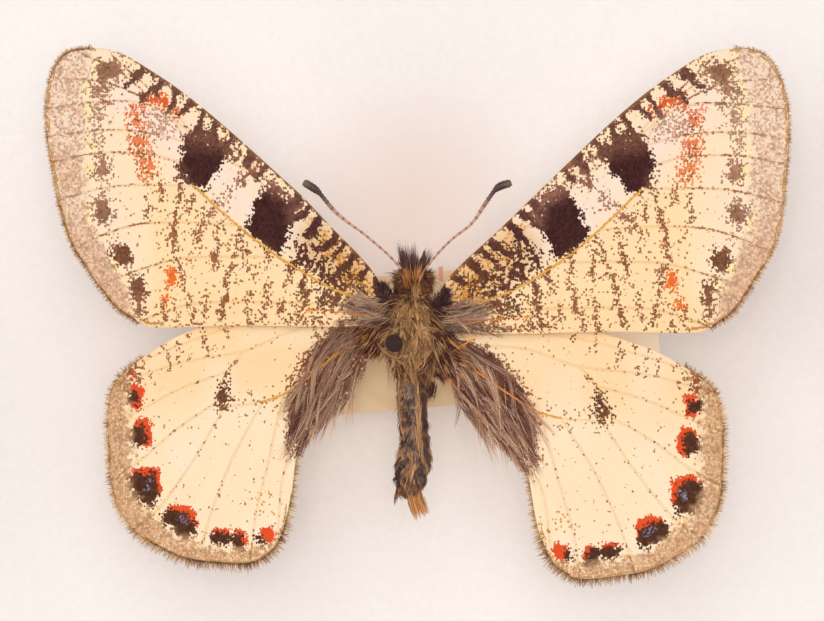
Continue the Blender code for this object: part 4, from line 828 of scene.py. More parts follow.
# length and height of the long waves, in mm, and what to add to the seed
WAVES = ((6.0, 0.28, 2), (1.3, 0.05, 3))
for kind in ("fore", "hind"):
    flat, faces = SHEETS[kind]
    for side, name in ((1, "right"), (-1, "left")):
        seed = 20 + (kind == "hind") * 7 + (side < 0) * 31
        fields, ground, vein, margin, band = wing_fields(kind, flat, seed)
        ridge = finish_edges(kind, flat, fields, ground, vein, margin, band, seed)
        placed = set_wing(kind, side, flat)
        level = wing_level(kind, placed)
        level += VEIN_RISE * np.clip(1 - vein / 0.16, 0,
                                     1) - SAG * ease(vein, 0.2, 1.4) * ease(margin, 0.0, 1.0)
        for size, height, more in WAVES:
            level += height * (lattice_noise(flat, size, seed + more) - 0.5)
        top, bottom = (np.column_stack([placed, level + up]) for up in (MEMBRANE / 2, -MEMBRANE / 2))
        count = len(flat)
        upper = faces if side > 0 else faces[:, ::-1]
        pairs = np.vstack([upper[:, [0, 1]], upper[:, [1, 2]], upper[:, [2, 0]]])
        codes = pairs[:, 0] * count + pairs[:, 1]
        border = pairs[~np.isin(codes, pairs[:, 1] * count + pairs[:, 0])]
        wall_a = np.column_stack([border[:, 1], border[:, 0], border[:, 0] + count])
        wall_b = np.column_stack([border[:, 1], border[:, 0] + count, border[:, 1] + count])
        skin = np.vstack([upper, upper[:, ::-1] + count, wall_a, wall_b])
        twice = lambda values: np.concatenate([values, values])
        made = piece(f"{kind}wing_{name}_scaled", np.vstack([top, bottom]), skin, scaled, [
            ("dark", twice(fields["dark"][0])), ("tint", twice(fields["tint"][0])),
            ("ground", twice(ground)),
            ("dark_colour", twice(fields["dark"][1])), ("tint_colour", twice(fields["tint"][1])),
            ("net", twice(band * (0.09 if kind == "fore" else 0.14)))])
        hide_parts(f"{kind}wing_{name}")
        print(made.name, len(skin), "triangles")

# %% [markdown]
# ## One skin for head, thorax and abdomen
#
# Under its hair the insect is one tapering body: a round head on a short neck, the barrel of the thorax and
# the ringed abdomen. One grid of rings and turns covers all three, so no seam shows. Each ring is a
# flattened circle whose middle and half sizes run smoothly along a short table.

# %% The body's table and its surface
BODY_TABLE = np.array([   # y, middle x and z, half width and half height, in mm, from the face to the tail
    (3.02, 0.12, 25.2, 0.04, 0.04), (2.9, 0.12, 25.2, 0.48, 0.46), (2.6, 0.12, 25.25, 0.76, 0.74),
    (2.15, 0.12, 25.3, 0.9, 0.86), (1.7, 0.12, 25.3, 0.84, 0.84), (1.3, 0.1, 25.3, 0.7, 0.74),
    (0.95, 0.06, 25.35, 0.82, 0.96), (0.55, 0.03, 25.4, 1.16, 1.3), (0.0, 0.0, 25.45, 1.5, 1.62),
    (-0.8, 0.0, 25.5, 1.72, 1.85), (-2.0, 0.0, 25.5, 1.78, 1.92), (-3.2, 0.0, 25.5, 1.62, 1.8),
    (-4.1, 0.0, 25.45, 1.3, 1.5), (-4.75, 0.0, 25.4, 1.0, 1.1), (-5.3, 0.0, 25.38, 0.94, 0.94),
    (-6.5, 0.0, 25.32, 0.95, 0.92), (-8.0, 0.05, 25.22, 0.93, 0.92), (-9.8, 0.16, 25.0, 0.96, 0.94),
    (-11.5, 0.14, 24.85, 1.16, 1.0), (-12.7, -0.06, 24.76, 1.1, 0.94), (-13.6, -0.1, 24.72, 0.86, 0.74),
    (-14.3, -0.05, 24.7, 0.5, 0.42), (-14.6, 0.0, 24.68, 0.05, 0.05),
])
BODY_POWER = 2.2
BODY_ROWS = curve(BODY_TABLE, 0.07)
ABDOMEN_FROM, ABDOMEN_TO, ABDOMEN_RINGS = -5.2, -13.8, 8
phase = (BODY_ROWS[:, 0] - ABDOMEN_FROM) / (ABDOMEN_TO - ABDOMEN_FROM) * ABDOMEN_RINGS
step = np.where((phase > 0) & (phase < ABDOMEN_RINGS), (phase % 1.0) ** 3, 0)
BODY_ROWS[:, 3:] *= (1 - 0.07 * step)[:, None]
ROW_AT = np.linspace(0, 1, len(BODY_ROWS))


def body_point(along, turn, swell=0.0):
    """A point on the body: along from 0 at the face to 1 at the tail, turn 0 at the right, a quarter on top.

    Half width times the signed power of the cosine, half height times that of the sine, on the ring's middle.
    """
    y, middle_x, middle_z, half_x, half_z = (np.interp(along, ROW_AT, BODY_ROWS[:, i]) for i in range(5))
    cos, sin = np.cos(turn), np.sin(turn)
    side = np.sign(cos) * np.abs(cos) ** (2 / BODY_POWER)
    rise = np.sign(sin) * np.abs(sin) ** (2 / BODY_POWER)
    return np.stack([middle_x + (half_x + swell) * side, y, middle_z + (half_z + swell) * rise], -1)


def body_frame(along, turn):
    """Point, outward normal and the direction towards the tail, from differences over a small step."""
    here = body_point(along, turn)
    ahead = body_point(np.minimum(along + 0.003, 1), turn) - body_point(np.maximum(along - 0.003, 0), turn)
    round_ = body_point(along, turn + 0.02) - body_point(along, turn - 0.02)
    ahead /= np.linalg.norm(ahead, axis=-1, keepdims=True) + 1e-9
    normal = np.cross(ahead, round_)
    normal /= np.linalg.norm(normal, axis=-1, keepdims=True) + 1e-9
    middle = np.stack([np.interp(along, ROW_AT, BODY_ROWS[:, i]) for i in (1, 0, 2)], -1)
    outward = np.sum(normal * (here - middle), -1, keepdims=True)
    return here, normal * np.where(outward < 0, -1, 1), ahead


def along_at(y):
    """The place along the body where this y lies; the table runs towards smaller y."""
    return np.interp(-np.asarray(y, float), -BODY_ROWS[:, 0], ROW_AT)


def top_height(x, y):
    """Height of the body's back over a point of the plan."""
    along = along_at(y)
    _, middle_x, middle_z, half_x, half_z = (np.interp(along, ROW_AT, BODY_ROWS[:, i]) for i in range(5))
    part = np.clip(np.abs((x - middle_x) / half_x), 0, 0.97)
    return middle_z + half_z * (1 - part**BODY_POWER) ** (1 / BODY_POWER)


DARK_HAIR, UMBER, OLIVE, TAN, AMBER, PLUM = "#3f2622", "#734c3a", "#a98452", "#d4aa76", "#c8893e", "#5a3438"


def body_colour(points):
    """The coat's main colour by place: olive and umber back, plum sides, slate abdomen, golden tail."""
    x, y, z = points[:, 0], points[:, 1], points[:, 2]
    colour = np.ones((len(points), 1)) * linear(UMBER)
    side = ease(np.abs(x), 1.2, 1.8) * ease(y, 0.6, -0.4) * ease(y, -5.0, -4.4)
    for share, code in (
            (0.65 * ease(z, 25.6, 26.6) * ease(y, -4.9, -4.0), OLIVE),   # back
            (0.6 * ease(np.hypot(x - 0.3, y - 1.7), 1.0, 0.3), AMBER),   # crown of the head
            (0.8 * side, PLUM),   # sides of the thorax
            (0.85 * ease(y, -4.9, -5.8), "#6b5350"),   # abdomen
            (0.85 * ease(y, -13.0, -14.0), "#c48a4e"),   # tail
            (0.4 * ease(z, 25.0, 24.2), TAN)):   # underside
        move_towards(colour, share, code)
    return colour


TURNS = 120
rings, turns = np.meshgrid(ROW_AT, np.arange(TURNS) / TURNS * 2 * np.pi, indexing="ij")
grid = body_point(rings.ravel(), turns.ravel())
wrinkle = 0.05 * (lattice_noise(np.column_stack([turns.ravel() * 1.3, grid[:, 1]]), 0.35, 61) - 0.5)
grid += wrinkle[:, None] * np.column_stack([np.cos(turns.ravel()), np.zeros(grid.shape[0]),
                                            np.sin(turns.ravel())])
corners = ring_faces(len(ROW_AT), TURNS)
points = np.vstack([grid, [grid[:TURNS].mean(0)], [grid[-TURNS:].mean(0)]])
a, b, c = (points[corners[:, i]] for i in range(3))
corners = corners if np.sum(a * np.cross(b, c)) > 0 else corners[:, ::-1]   # the volume is positive

hide, shader = new_material("hairy_chitin_hide", 0.38, 0.5)
drawn_out = add(hide, "ShaderNodeMapping", Vector=object_place(hide), Scale=(1.0, 0.22, 1.0)).outputs[0]
# streaks of about 0.3 by 1.5 mm, drawn out along the body
streaks = add(hide, "ShaderNodeTexNoise", Vector=drawn_out, Scale=3000.0, Detail=3.0).outputs["Fac"]
share = steps(hide, streaks, 0.52, 0.66, 0.0, 0.55)
paint(hide, shader, blend(hide, share, own_field(hide, "tone"), (*linear("#a88a5e"), 1)))
rough_up(hide, shader, streaks, 0.5, 0.00005)
skin = piece("body_skin", points, corners, hide, [("tone", 0.75 * body_colour(points))])
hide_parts("head", "thorax", "abdomen")
print("body skin:", len(corners), "triangles")

# %% [markdown]
# ## Hair
#
# The coat could be particle hair, but an exported model loses that. Here every strand is a thin solid blade
# on a curve through three points: its root in the skin, a middle and a tip. Strands gather in clumps around
# guides and take their guide's colour, as real hair does. Each strand has its own small patch on the
# skin's unwrapping, at its root.

# %% Strands
PATCH = 0.003   # side of a strand's patch on the unwrapped skin
STRAND_RINGS = np.array([0.0, 0.3, 0.62, 0.86])
# light lost between the strands of a coat, given back to their colour
GIVEN_BACK = np.array([1.28, 1.1, 1.06])


def strands(name, root, middle, tip, width, root_colour, tip_colour, where):
    """Blades on quadratic curves: (1-t)^2 root + 2t(1-t) middle + t^2 tip, with three sides and a point.

    The half width is 1 - t^1.6 of the root's. `where` is each root's place on the skin's unwrapping.
    """
    total, levels = len(root), len(STRAND_RINGS)
    t = STRAND_RINGS[None, :, None]
    line = (1 - t) ** 2 * root[:, None] + 2 * t * (1 - t) * middle[:, None] + t**2 * tip[:, None]
    heading = 2 * (1 - t) * (middle - root)[:, None] + 2 * t * (tip - middle)[:, None]
    heading /= np.linalg.norm(heading, axis=-1, keepdims=True) + 1e-9
    aside = np.cross(heading, np.array([0.13, 0.07, 0.99]))
    aside /= np.linalg.norm(aside, axis=-1, keepdims=True) + 1e-9
    over = np.cross(aside, heading)
    wide = (width[:, None] * (1 - STRAND_RINGS[None, :] ** 1.6))[..., None]
    turn = np.arange(3) * 2 * np.pi / 3 + 0.5
    shell = line[:, :, None] + wide[..., None] * (aside[:, :, None] * np.cos(turn)[:, None]
                                                  + 0.6 * over[:, :, None] * np.sin(turn)[:, None])
    points = np.concatenate([shell.reshape(total, levels * 3, 3), tip[:, None]], axis=1)
    pattern = [(0, 2, 1)]
    for ring in range(levels - 1):
        for k in range(3):
            a, b = ring * 3 + k, ring * 3 + (k + 1) % 3
            pattern += [(a, b, b + 3), (a, b + 3, a + 3)]
    last = (levels - 1) * 3
    pattern += [(last + k, last + (k + 1) % 3, levels * 3) for k in range(3)]
    size = levels * 3 + 1
    faces = (np.arange(total)[:, None, None] * size + np.array(pattern)[None]).reshape(-1, 3)
    part = np.append(np.repeat(STRAND_RINGS, 3), 1.0)[None, :, None]
    tone = (root_colour[:, None] * (1 - part) + tip_colour[:, None] * part) * GIVEN_BACK
    spread = np.stack([np.append(np.tile([0.0, 0.5, 1.0], levels), 0.5), part[0, :, 0]], -1) * PATCH
    uv = (where[:, None] + spread[None]).reshape(-1, 2)
    made = piece(name, points.reshape(-1, 3), faces, hair, [("tone", tone.reshape(-1, 3))], uv=uv)
    print(name, total, "strands,", len(faces), "triangles")


def gather(draw, root, tip, each, pull):
    """Clumps: each tip moves part of the way to that of its nearest guide. Gives tips and guides."""
    chosen = draw.choice(len(root), max(1, len(root) // each), replace=False)
    nearest = np.argmin(((root[:, None] - root[chosen][None]) ** 2).sum(-1), axis=1)
    guide_root, guide_tip = root[chosen][nearest], tip[chosen][nearest]
    return tip + pull * (guide_tip + 0.3 * (root - guide_root) - tip), nearest


def clump_colours(draw, groups, palette, weights, vary=0.16):
    """One colour of the palette for each clump, and a little lighter or darker for each strand."""
    table = np.array([linear(code) for code in palette])
    pick = draw.choice(len(palette), groups.max() + 1, p=np.array(weights) / sum(weights))
    colour = table[pick[groups]]
    return colour * (1 + vary * draw.standard_normal(len(groups)))[:, None].clip(0.5, 1.6)


hair, shader = new_material("long_insect_hair", 0.45, 0.35)
paint(hair, shader, own_field(hair, "tone"))
LESS = 1.0
print("strand finish ready")

# %% [markdown]
# ### The coat of thorax, head and abdomen
#
# On the thorax the hair lies back and is parted: locks fall to the left in front and run down the right of
# the middle. The head's hair stands forward in three dark bristle points. The abdomen has shorter, darker
# hair and a golden tuft at its tip.

# %% Body coats
PIN_AT = np.array([-1.34, -2.45])


def coat(name, seed, total, span, length, lift, flow, palette, weights, width=0.028, each=22, pull=0.6,
         front=0.0,
         stray=0.22, own=0.6):
    """Strands over a stretch of the body, swept back and sideways (flow gives the share by place), lifted."""
    draw = np.random.default_rng(seed)
    total = int(total * LESS)
    y = draw.uniform(span[1], span[0], total * 2)
    turn = draw.uniform(0, 2 * np.pi, total * 2)
    keep = draw.random(total * 2) < np.where(np.sin(turn) > -0.2, 0.75, 0.3)
    y, turn = y[keep][:total], turn[keep][:total]
    along = along_at(y)
    here, normal, back = body_frame(along, turn)
    sideways = np.cross(normal, back)
    sideways *= np.sign(sideways[:, :1] + 1e-9)
    sweep = back * (1 - 2 * front) + flow(here)[:, None] * sideways
    sweep /= np.linalg.norm(sweep, axis=1, keepdims=True) + 1e-9
    reach = length(here) * draw.uniform(0.7, 1.2, len(y))
    jitter = stray * draw.standard_normal((len(y), 3))
    tip = here + reach[:, None] * (sweep + lift * normal + jitter)
    tip, groups = gather(draw, here, tip, each, pull)
    middle = here + reach[:, None] * (0.45 * sweep + (0.28 + lift) * normal + 0.5 * jitter)
    clear = np.hypot(*(tip[:, :2] - PIN_AT).T) > 0.3
    here, middle, tip, groups, along, turn = (v[clear] for v in (here, middle, tip, groups, along, turn))
    colour = clump_colours(draw, groups, palette, weights) * own + (1 - own) * body_colour(here)
    where = np.column_stack([along * 0.97, turn / (2 * np.pi) * 0.97])
    sunk = here - 0.06 * body_frame(along, turn)[1]
    strands(name, sunk, middle, tip, np.full(len(here), width), 0.6 * colour, 1.15 * colour, where)


def thorax_flow(here):
    """Left of the parting the hair falls outwards, right of it first outwards and then back to the middle."""
    x, y = here[:, 0], here[:, 1]
    left = -0.7 * ease(x, -0.2, -0.8) * ease(y, -3.5, -2.0)
    right = 0.55 * ease(x, 0.0, 0.5) * ease(y, -2.0, -1.0) - 0.45 * ease(x, 0.2, 0.8) * ease(y, -1.8, -2.8)
    return left + right


coat("coat_thorax_under", 3, 6400, (0.9, -4.7), lambda p: np.full(len(p), 0.7), 0.25, thorax_flow,
     (DARK_HAIR, "#5f3b30", UMBER, PLUM), (4, 3, 3, 3), 0.034, 8, 0.4, stray=0.35, own=0.85)
coat("coat_thorax_over", 4, 800, (0.9, -4.4), lambda p: 1.2 + 0.6 * ease(p[:, 2], 25.0, 26.8), 0.12,
     thorax_flow, (TAN, OLIVE, "#b98f5c", "#7d5d3c", "#dcbb88"), (4, 4, 3, 3, 1), 0.034, 9, 0.72,
     stray=0.4, own=0.9)
coat("coat_head", 5, 2300, (2.85, 0.9), lambda p: 0.55 + 0.3 * ease(p[:, 1], 1.5, 2.5), 0.45,
     lambda p: 0.4 * np.sign(p[:, 0] - 0.12), (DARK_HAIR, "#8a6a42", "#9c6a34", UMBER, PLUM),
     (5, 3, 2, 4, 2), 0.034, 7, 0.6, front=0.35, stray=0.4, own=0.95)
coat("coat_abdomen", 6, 3600, (-5.0, -14.2), lambda p: 0.5 + 0.25 * (np.abs(p[:, 0]) > 0.8), 0.12,
     lambda p: 0.2 * np.sign(p[:, 0]), (DARK_HAIR, "#5c4844", TAN, "#8a6c50", OLIVE), (3, 4, 3, 3, 1),
     0.03, 7, 0.5, stray=0.16, own=0.75)

# %% [markdown]
# ### Bundles of long hair
#
# Some hair is drawn out in long locks that the eye follows: the parted locks on the back, the bristle
# points over the face, the tail's tuft and the dark cushions over the wings' roots. Each is a bundle round a
# guide path, with strands that start and end at different places along it.

# %% Bundles
def bundle(draw, path, total, spread, palette, weights, share=(0.35, 0.7), width=0.022, fan=0.5):
    """Strands along a path: starts in its first part, each as long as a share of it, spread to the sides.

    Gives root, middle, tip, width and colours, to be joined with other bundles.
    """
    total = max(4, int(total * LESS))
    line = curve(path, 0.1)
    run = np.concatenate([[0], np.cumsum(np.linalg.norm(np.diff(line, axis=0), axis=1))])
    run /= run[-1]
    size = draw.uniform(*share, total)
    begin = draw.random(total) * (1 - size)
    offset = draw.standard_normal((total, 3)) * np.array([spread, spread, 0.5 * spread])
    at = lambda s: np.stack([np.interp(s, run, line[:, i]) for i in range(3)], -1)
    root, middle = at(begin) + offset, at(begin + size / 2) + offset * 0.9
    tip = at(begin + size) + offset * fan
    middle[:, 2] += 0.05
    groups = draw.integers(0, max(2, total // 3), total)
    colour = clump_colours(draw, groups, palette, weights)
    return root, middle, tip, np.full(total, width), colour


def join_bundles(name, bundles):
    """One coat piece of several bundles; each patch lies at the root's place along and round the body."""
    root, middle, tip, width, colour = (np.concatenate(parts) for parts in zip(*bundles))
    along = along_at(root[:, 1])
    middle_x, middle_z = (np.interp(along, ROW_AT, BODY_ROWS[:, i]) for i in (1, 2))
    turn = np.arctan2(root[:, 2] - middle_z, root[:, 0] - middle_x) % (2 * np.pi)
    where = np.column_stack([along * 0.97, turn / (2 * np.pi) * 0.97])
    strands(name, root, middle, tip, width, 0.7 * colour, 1.1 * colour, where)


def over_back(plan, rise):
    """Lays a plan path on the body's back, raised by a few tenths."""
    plan = np.asarray(plan, float)
    return np.column_stack([plan, top_height(plan[:, 0], plan[:, 1]) + rise])


draw = np.random.default_rng(11)
GOLD, WISP = (TAN, "#b08e58", OLIVE, "#dcbb88"), (3, 3, 4, 2)
BACK_LOCKS = (   # plan path, height over the back, strands, spread
    ([(-0.5, 0.9), (-0.9, 0.3), (-1.4, -0.6), (-1.7, -1.6)], 0.3, 90, 0.2),
    ([(-0.9, 0.6), (-0.7, -0.3), (-0.9, -1.3)], 0.35, 80, 0.16),
    ([(-0.3, 0.8), (-0.5, 0.0), (-0.2, -1.0), (-0.4, -2.0)], 0.35, 90, 0.16),
    ([(0.1, 0.9), (0.35, -0.2), (0.8, -1.3), (0.9, -2.4), (0.5, -3.4)], 0.4, 150, 0.13),
    ([(0.4, 0.8), (0.9, 0.0), (1.15, -0.9), (1.2, -1.9)], 0.25, 90, 0.14),
    ([(1.0, -2.2), (0.75, -3.2), (0.2, -4.2), (-0.1, -5.2)], 0.35, 120, 0.15),
    ([(0.3, -1.2), (0.0, -2.2), (0.4, -3.2), (0.1, -4.4)], 0.35, 90, 0.2),
    ([(-0.2, -2.6), (-0.1, -3.6), (0.1, -4.8), (0.3, -6.0)], 0.3, 80, 0.2),
    ([(-1.5, -3.0), (-0.7, -4.0), (0.3, -4.5), (0.9, -4.7)], 0.45, 70, 0.12),
    ([(-1.3, 0.8), (-0.6, 1.0), (0.3, 0.85), (1.1, 1.0)], 0.3, 80, 0.16),
    ([(0.1, 2.4), (0.4, 1.6), (0.2, 0.8)], 0.3, 80, 0.2),
)
locks = [bundle(draw, over_back(path, rise), total, spread, GOLD, WISP, width=0.036)
         for path, rise, total, spread in BACK_LOCKS]
for _ in range(60):   # tangled locks: each starts anywhere on the back and winds on its way to the tail
    x, y = draw.uniform(-1.35, 1.35), draw.uniform(-3.8, 0.8)
    ways = np.radians(draw.normal(-90 + 22 * np.sign(x), 24) + np.cumsum(draw.normal(0, 30, 4)))
    path = np.cumsum([(x, y)] + list(
        draw.uniform(0.35, 0.6) * np.column_stack([np.cos(ways), np.sin(ways)])), axis=0)
    shade = GOLD[draw.integers(0, 4)]
    locks.append(bundle(draw, over_back(path, draw.uniform(0.3, 0.6)), 26, 0.06, (shade, UMBER), (5, 1),
                        (0.5, 0.9), 0.028, 0.6))
for _ in range(34):   # and on the head, dark and amber
    x, y = draw.uniform(-0.75, 0.95), draw.uniform(1.0, 2.9)
    swing = draw.normal(0, 0.35, 2)
    path = [(x, y), (x + 0.35 * np.sign(x - 0.1) + swing[0], y - 0.2 + 0.4 * swing[1]),
            (x + 0.5 * np.sign(x - 0.1), y - 0.7 + swing[1])]
    locks.append(bundle(draw, over_back(path, 0.4), 14, 0.05, (AMBER, "#a98250", DARK_HAIR, UMBER),
                        (3, 3, 4, 3), (0.6, 0.95), 0.032, 0.8))
for path, total in (([(-0.75, -5.2), (-0.9, -7.5), (-0.6, -10.0)], 90),
                    ([(0.25, -5.2), (0.45, -7.0), (0.5, -9.5), (0.7, -12.0)], 120),
                    ([(-0.2, -10.5), (0.0, -12.0), (-0.2, -13.6)], 60)):
    locks.append(bundle(draw, over_back(path, 0.1), total, 0.12, (TAN, "#9c7a58", "#d9b88c"), (3, 3, 1),
                        (0.2, 0.45), 0.034))
join_bundles("locks_back", locks)

# foot across the head, and the tip's place in the plan
BRISTLES = ((-0.45, -1.2, 5.35), (-0.3, -0.75, 5.1), (-0.2, -0.45, 5.0), (0.1, -0.05, 5.1),
            (0.15, 0.15, 5.3), (0.3, 0.5, 4.4), (0.6, 1.2, 4.9), (0.7, 1.55, 4.75), (0.0, -0.6, 4.4),
            (-0.6, -1.0, 4.2))
crest = [bundle(draw, [(x, 2.5, 26.3), ((x + tip_x) / 2, (2.7 + tip_y) / 2, 26.8), (tip_x, tip_y, 26.7)],
                40, 0.09, ("#5f4448", "#45302f", UMBER), (4, 3, 2), (0.45, 0.95), 0.025, 1.9)
         for x, tip_x, tip_y in BRISTLES]
cheeks = [bundle(draw, [(side * 0.6 + 0.12, 2.5, 25.9), (side * 1.1 + 0.12, 2.75, 26.0),
                        (side * 1.45 + 0.12, 3.0, 25.8)], 90, 0.22,
                 (DARK_HAIR, OLIVE, TAN), (3, 3, 2), (0.4, 0.9), 0.03, 1.2) for side in (-1, 1)]
cheeks += [bundle(draw, [(side * 0.2 + 0.12, 1.9, 26.3), (side * 0.45 + 0.12, 2.6, 26.75),
                         (side * 0.55 + 0.12, 3.3, 26.9)], 80, 0.2,
                  (TAN, AMBER, UMBER), (3, 2, 3), (0.4, 0.9), 0.03, 1.2) for side in (-1, 1)]
join_bundles("locks_head", crest + cheeks)

tail = [bundle(draw, [(-0.3 + 0.2 * i, -13.3, 24.9), (-0.1 + 0.25 * i, -14.6, 24.95),
                      (0.35 + 0.32 * i, -16.3 + 0.15 * i, 24.8)], 110, 0.12,
               ("#d39a58", "#b5804a", "#e0b47c"), (4, 3, 2), (0.4, 0.85), 0.032, 0.6) for i in range(4)]
tail.append(bundle(draw, [(-0.9, -13.4, 24.8), (-1.2, -14.3, 24.9), (-1.35, -15.2, 24.8)], 40, 0.08,
                   (UMBER, "#8d5c26"), (1, 1)))
tail.append(bundle(draw, [(1.0, -5.2, 25.5), (1.5, -5.9, 25.4), (1.35, -7.0, 25.3)], 170, 0.18,
                   (DARK_HAIR, PLUM, UMBER), (4, 2, 3), (0.3, 0.6), 0.036))
join_bundles("locks_tail", tail)

# %% [markdown]
# ### Hair on the wing roots
#
# Black tufts stand over the forewings' shoulders, and grey-olive hair streams out over their bases. The
# hindwings carry the longest hair of all, dark purplish brown with pale strands, which runs along the inner
# margin and past it. It lies on the membrane, so its roots are placed in the wing's own plan.

# %% Wing coats
BEIGE, SMOKE, HAZEL = "#d8be9c", "#a08871", "#7a5d4e"


def wing_hair(draw, kind, side, total, area, heading, length, lift, palette, weights, width=0.024, each=26,
              pull=0.6, stray=9):
    """Strands on a wing: roots fill an outline of the plan, headings turn from its start to its end angle.

    Gives root, middle, tip, width and colour. Heading is (angle at the outline's left, angle at its right).
    """
    total = int(total * LESS)
    area = np.asarray(area, float) - (SHOULDER_SHIFT if kind == "fore" and side < 0 else 0)
    low, high = area.min(0), area.max(0)
    spots = draw.uniform(low, high, (total * 6, 2))
    spots = spots[depth_inside(spots, area) > 0][:total]
    part = (spots[:, 0] - low[0]) / (high[0] - low[0])
    turned = heading[0] + (heading[1] - heading[0]) * part
    angle = np.radians(turned + stray * draw.standard_normal(len(spots)))
    reach = length * draw.uniform(0.6, 1.25, len(spots))
    ends = spots + reach[:, None] * np.column_stack([np.cos(angle), np.sin(angle)])
    ends, groups = gather(draw, spots, ends, each, pull)
    halfway = 0.55 * spots + 0.45 * ends + 0.09 * draw.standard_normal((len(spots), 2))
    rise = lift * draw.uniform(0.4, 1.3, len(spots))
    made = []
    for flat, up in ((spots, -0.02), (halfway, rise), (ends, 0.75 * rise)):
        placed = set_wing(kind, side, flat)
        made.append(np.column_stack([placed, wing_level(kind, placed) + up]))
    colour = clump_colours(draw, groups, palette, weights)
    return (*made, np.full(len(spots), width), colour)


def join_wing_hair(name, bundles):
    """One coat piece; a strand's patch lies at its root's place in the plan, 31 mm to the map's side."""
    root, middle, tip, width, colour = (np.concatenate(parts) for parts in zip(*bundles))
    where = np.clip(np.column_stack([np.abs(root[:, 0]) / 31.0, (root[:, 1] + 22.0) / 44.0]), 0, 0.99)
    brighter = 1.2 if name.endswith("hindwing_right") else 1.0   # the right hindwing's hair is made 1.2 times as bright as the left
    strands(name, root, middle, tip, width, 0.75 * brighter * colour, 1.1 * brighter * colour, where)


INNER_BELT = [(2.7, -3.1), (4.6, -3.2), (6.0, -4.6), (7.6, -6.6), (8.6, -8.8), (8.9, -11.4), (8.0, -11.6),
              (6.6, -9.9), (4.9, -8.5), (3.7, -6.9), (2.8, -5.2)]
SHOULDER_SHIFT = np.array([0.5, 0.0])   # the left forewing is set a little farther out than its hair
DUSKY, PALE = ("#7a4e42", "#5c3932", "#8c6252", PLUM), ("#d0b294", "#a98c76", "#eadbc0", "#93705e")
SHOULDER = [(1.6, -0.6), (2.5, -0.5), (2.9, 0.5), (2.8, 1.4), (2.1, 1.5), (1.6, 0.6)]
FORE_ROOT = [(1.4, -1.3), (3.0, -1.4), (4.6, -1.1), (4.6, -0.3), (3.4, 0.3), (1.5, 0.2)]
HIND_TOP = [(2.2, -2.0), (4.8, -2.4), (5.2, -3.6), (2.4, -4.2)]
FLANK = [(1.3, -0.8), (2.9, -1.6), (3.5, -2.6), (3.3, -4.6), (2.2, -5.2), (1.2, -4.4)]
# strands, area, headings in degrees, length, lift, colours, weights, width, clump size, clump pull
HIND_HAIR = (
    (1500, HAIR_ZONE, (-48, -66), 1.5, 0.16, DUSKY, (4, 3, 3, 1), 0.03, 5, 0.35),
    (150, HAIR_ZONE, (-40, -66), 2.6, 0.3, PALE, (3, 4, 1, 4), 0.026, 3, 0.5, 13),
    (110, INNER_BELT, (-50, -70), 2.8, 0.34, PALE, (4, 3, 2, 3), 0.026, 3, 0.5, 13),
    (90, INNER_BELT[6:], (-62, -84), 3.4, 0.2, ("#f0dcc0", BEIGE), (3, 2), 0.016, 1, 0.0),
    (260, HIND_TOP, (-24, -42), 2.2, 0.4, (SMOKE, OLIVE, HAZEL, PLUM), (3, 2, 3, 2), 0.03, 4, 0.4),
    (1500, FLANK, (-75, -30), 0.8, 0.5, ("#4f302e", "#653c30", DARK_HAIR, "#7a4a3c"), (4, 2, 4, 2), 0.034,
     6, 0.45),
    (120, FLANK, (-80, -20), 1.5, 0.7, (TAN, AMBER, "#8a6248"), (2, 2, 3), 0.032, 2, 0.3),
)
FORE_HAIR = (
    (430, SHOULDER, (105, 25), 0.62, 0.42, ("#3a2529", "#4a3136", "#6a4a40"), (4, 3, 3), 0.028, 6, 0.55,
     30),
    (420, FORE_ROOT, (-16, 26), 2.2, 0.42, ("#a5937a", SMOKE, "#c4b498", "#5e483e"), (3, 4, 2, 5), 0.03, 3,
     0.4, 13),
    (800, FORE_ROOT, (-20, 20), 0.9, 0.14, DUSKY, (3, 3, 3, 1), 0.032, 5, 0.3),
    (240, [(2.6, -1.0), (6.0, -1.1), (7.4, -1.5), (6.5, -1.8), (2.6, -1.75)], (-18, -2), 0.9, 0.12,
     (HAZEL, "#8a6450", SMOKE), (4, 4, 2), 0.024, 4, 0.4, 14),
    (700, [(1.2, -1.9), (3.0, -1.7), (3.2, 0.2), (1.4, 0.2)], (-40, 10), 0.8, 0.3,
     ("#4f302e", "#5f3c30", DARK_HAIR, PLUM), (4, 2, 4, 3), 0.034, 5, 0.4),
)
WISPS = {   # locks, area of their roots, headings, length: long pale locks that wind over the dark coat
    "hind": ((24, HAIR_ZONE[:5] + HAIR_ZONE[-4:], (-40, -58), 4.4), (7, INNER_BELT, (-46, -60), 3.0)),
    "fore": ((9, FORE_ROOT, (-14, 22), 2.6),)}


def wisp(draw, kind, side, area, heading, length, palette, weights):
    """One lock of 14 strands on a wing: from a place in the area along a winding line of the plan."""
    area = np.asarray(area, float)
    spots = draw.uniform(area.min(0), area.max(0), (40, 2))
    spot = spots[depth_inside(spots, area) > 0][0]
    start = draw.uniform(*sorted(heading))
    bend = 4 * np.arange(5) * (kind == "hind")   # the hindwing's locks bend towards the tail
    turns = np.radians(start + np.cumsum(draw.normal(0, 9, 5)) - bend)
    stride = length * draw.uniform(0.75, 1.2) / 5
    flat = np.cumsum([spot] + list(stride * np.column_stack([np.cos(turns), np.sin(turns)])), axis=0)
    placed = set_wing(kind, side, flat)
    line = np.column_stack([placed, wing_level(kind, placed) + draw.uniform(0.3, 0.5)])
    return bundle(draw, line, 14, 0.08, palette, weights, (0.45, 0.9), 0.022, 0.8)


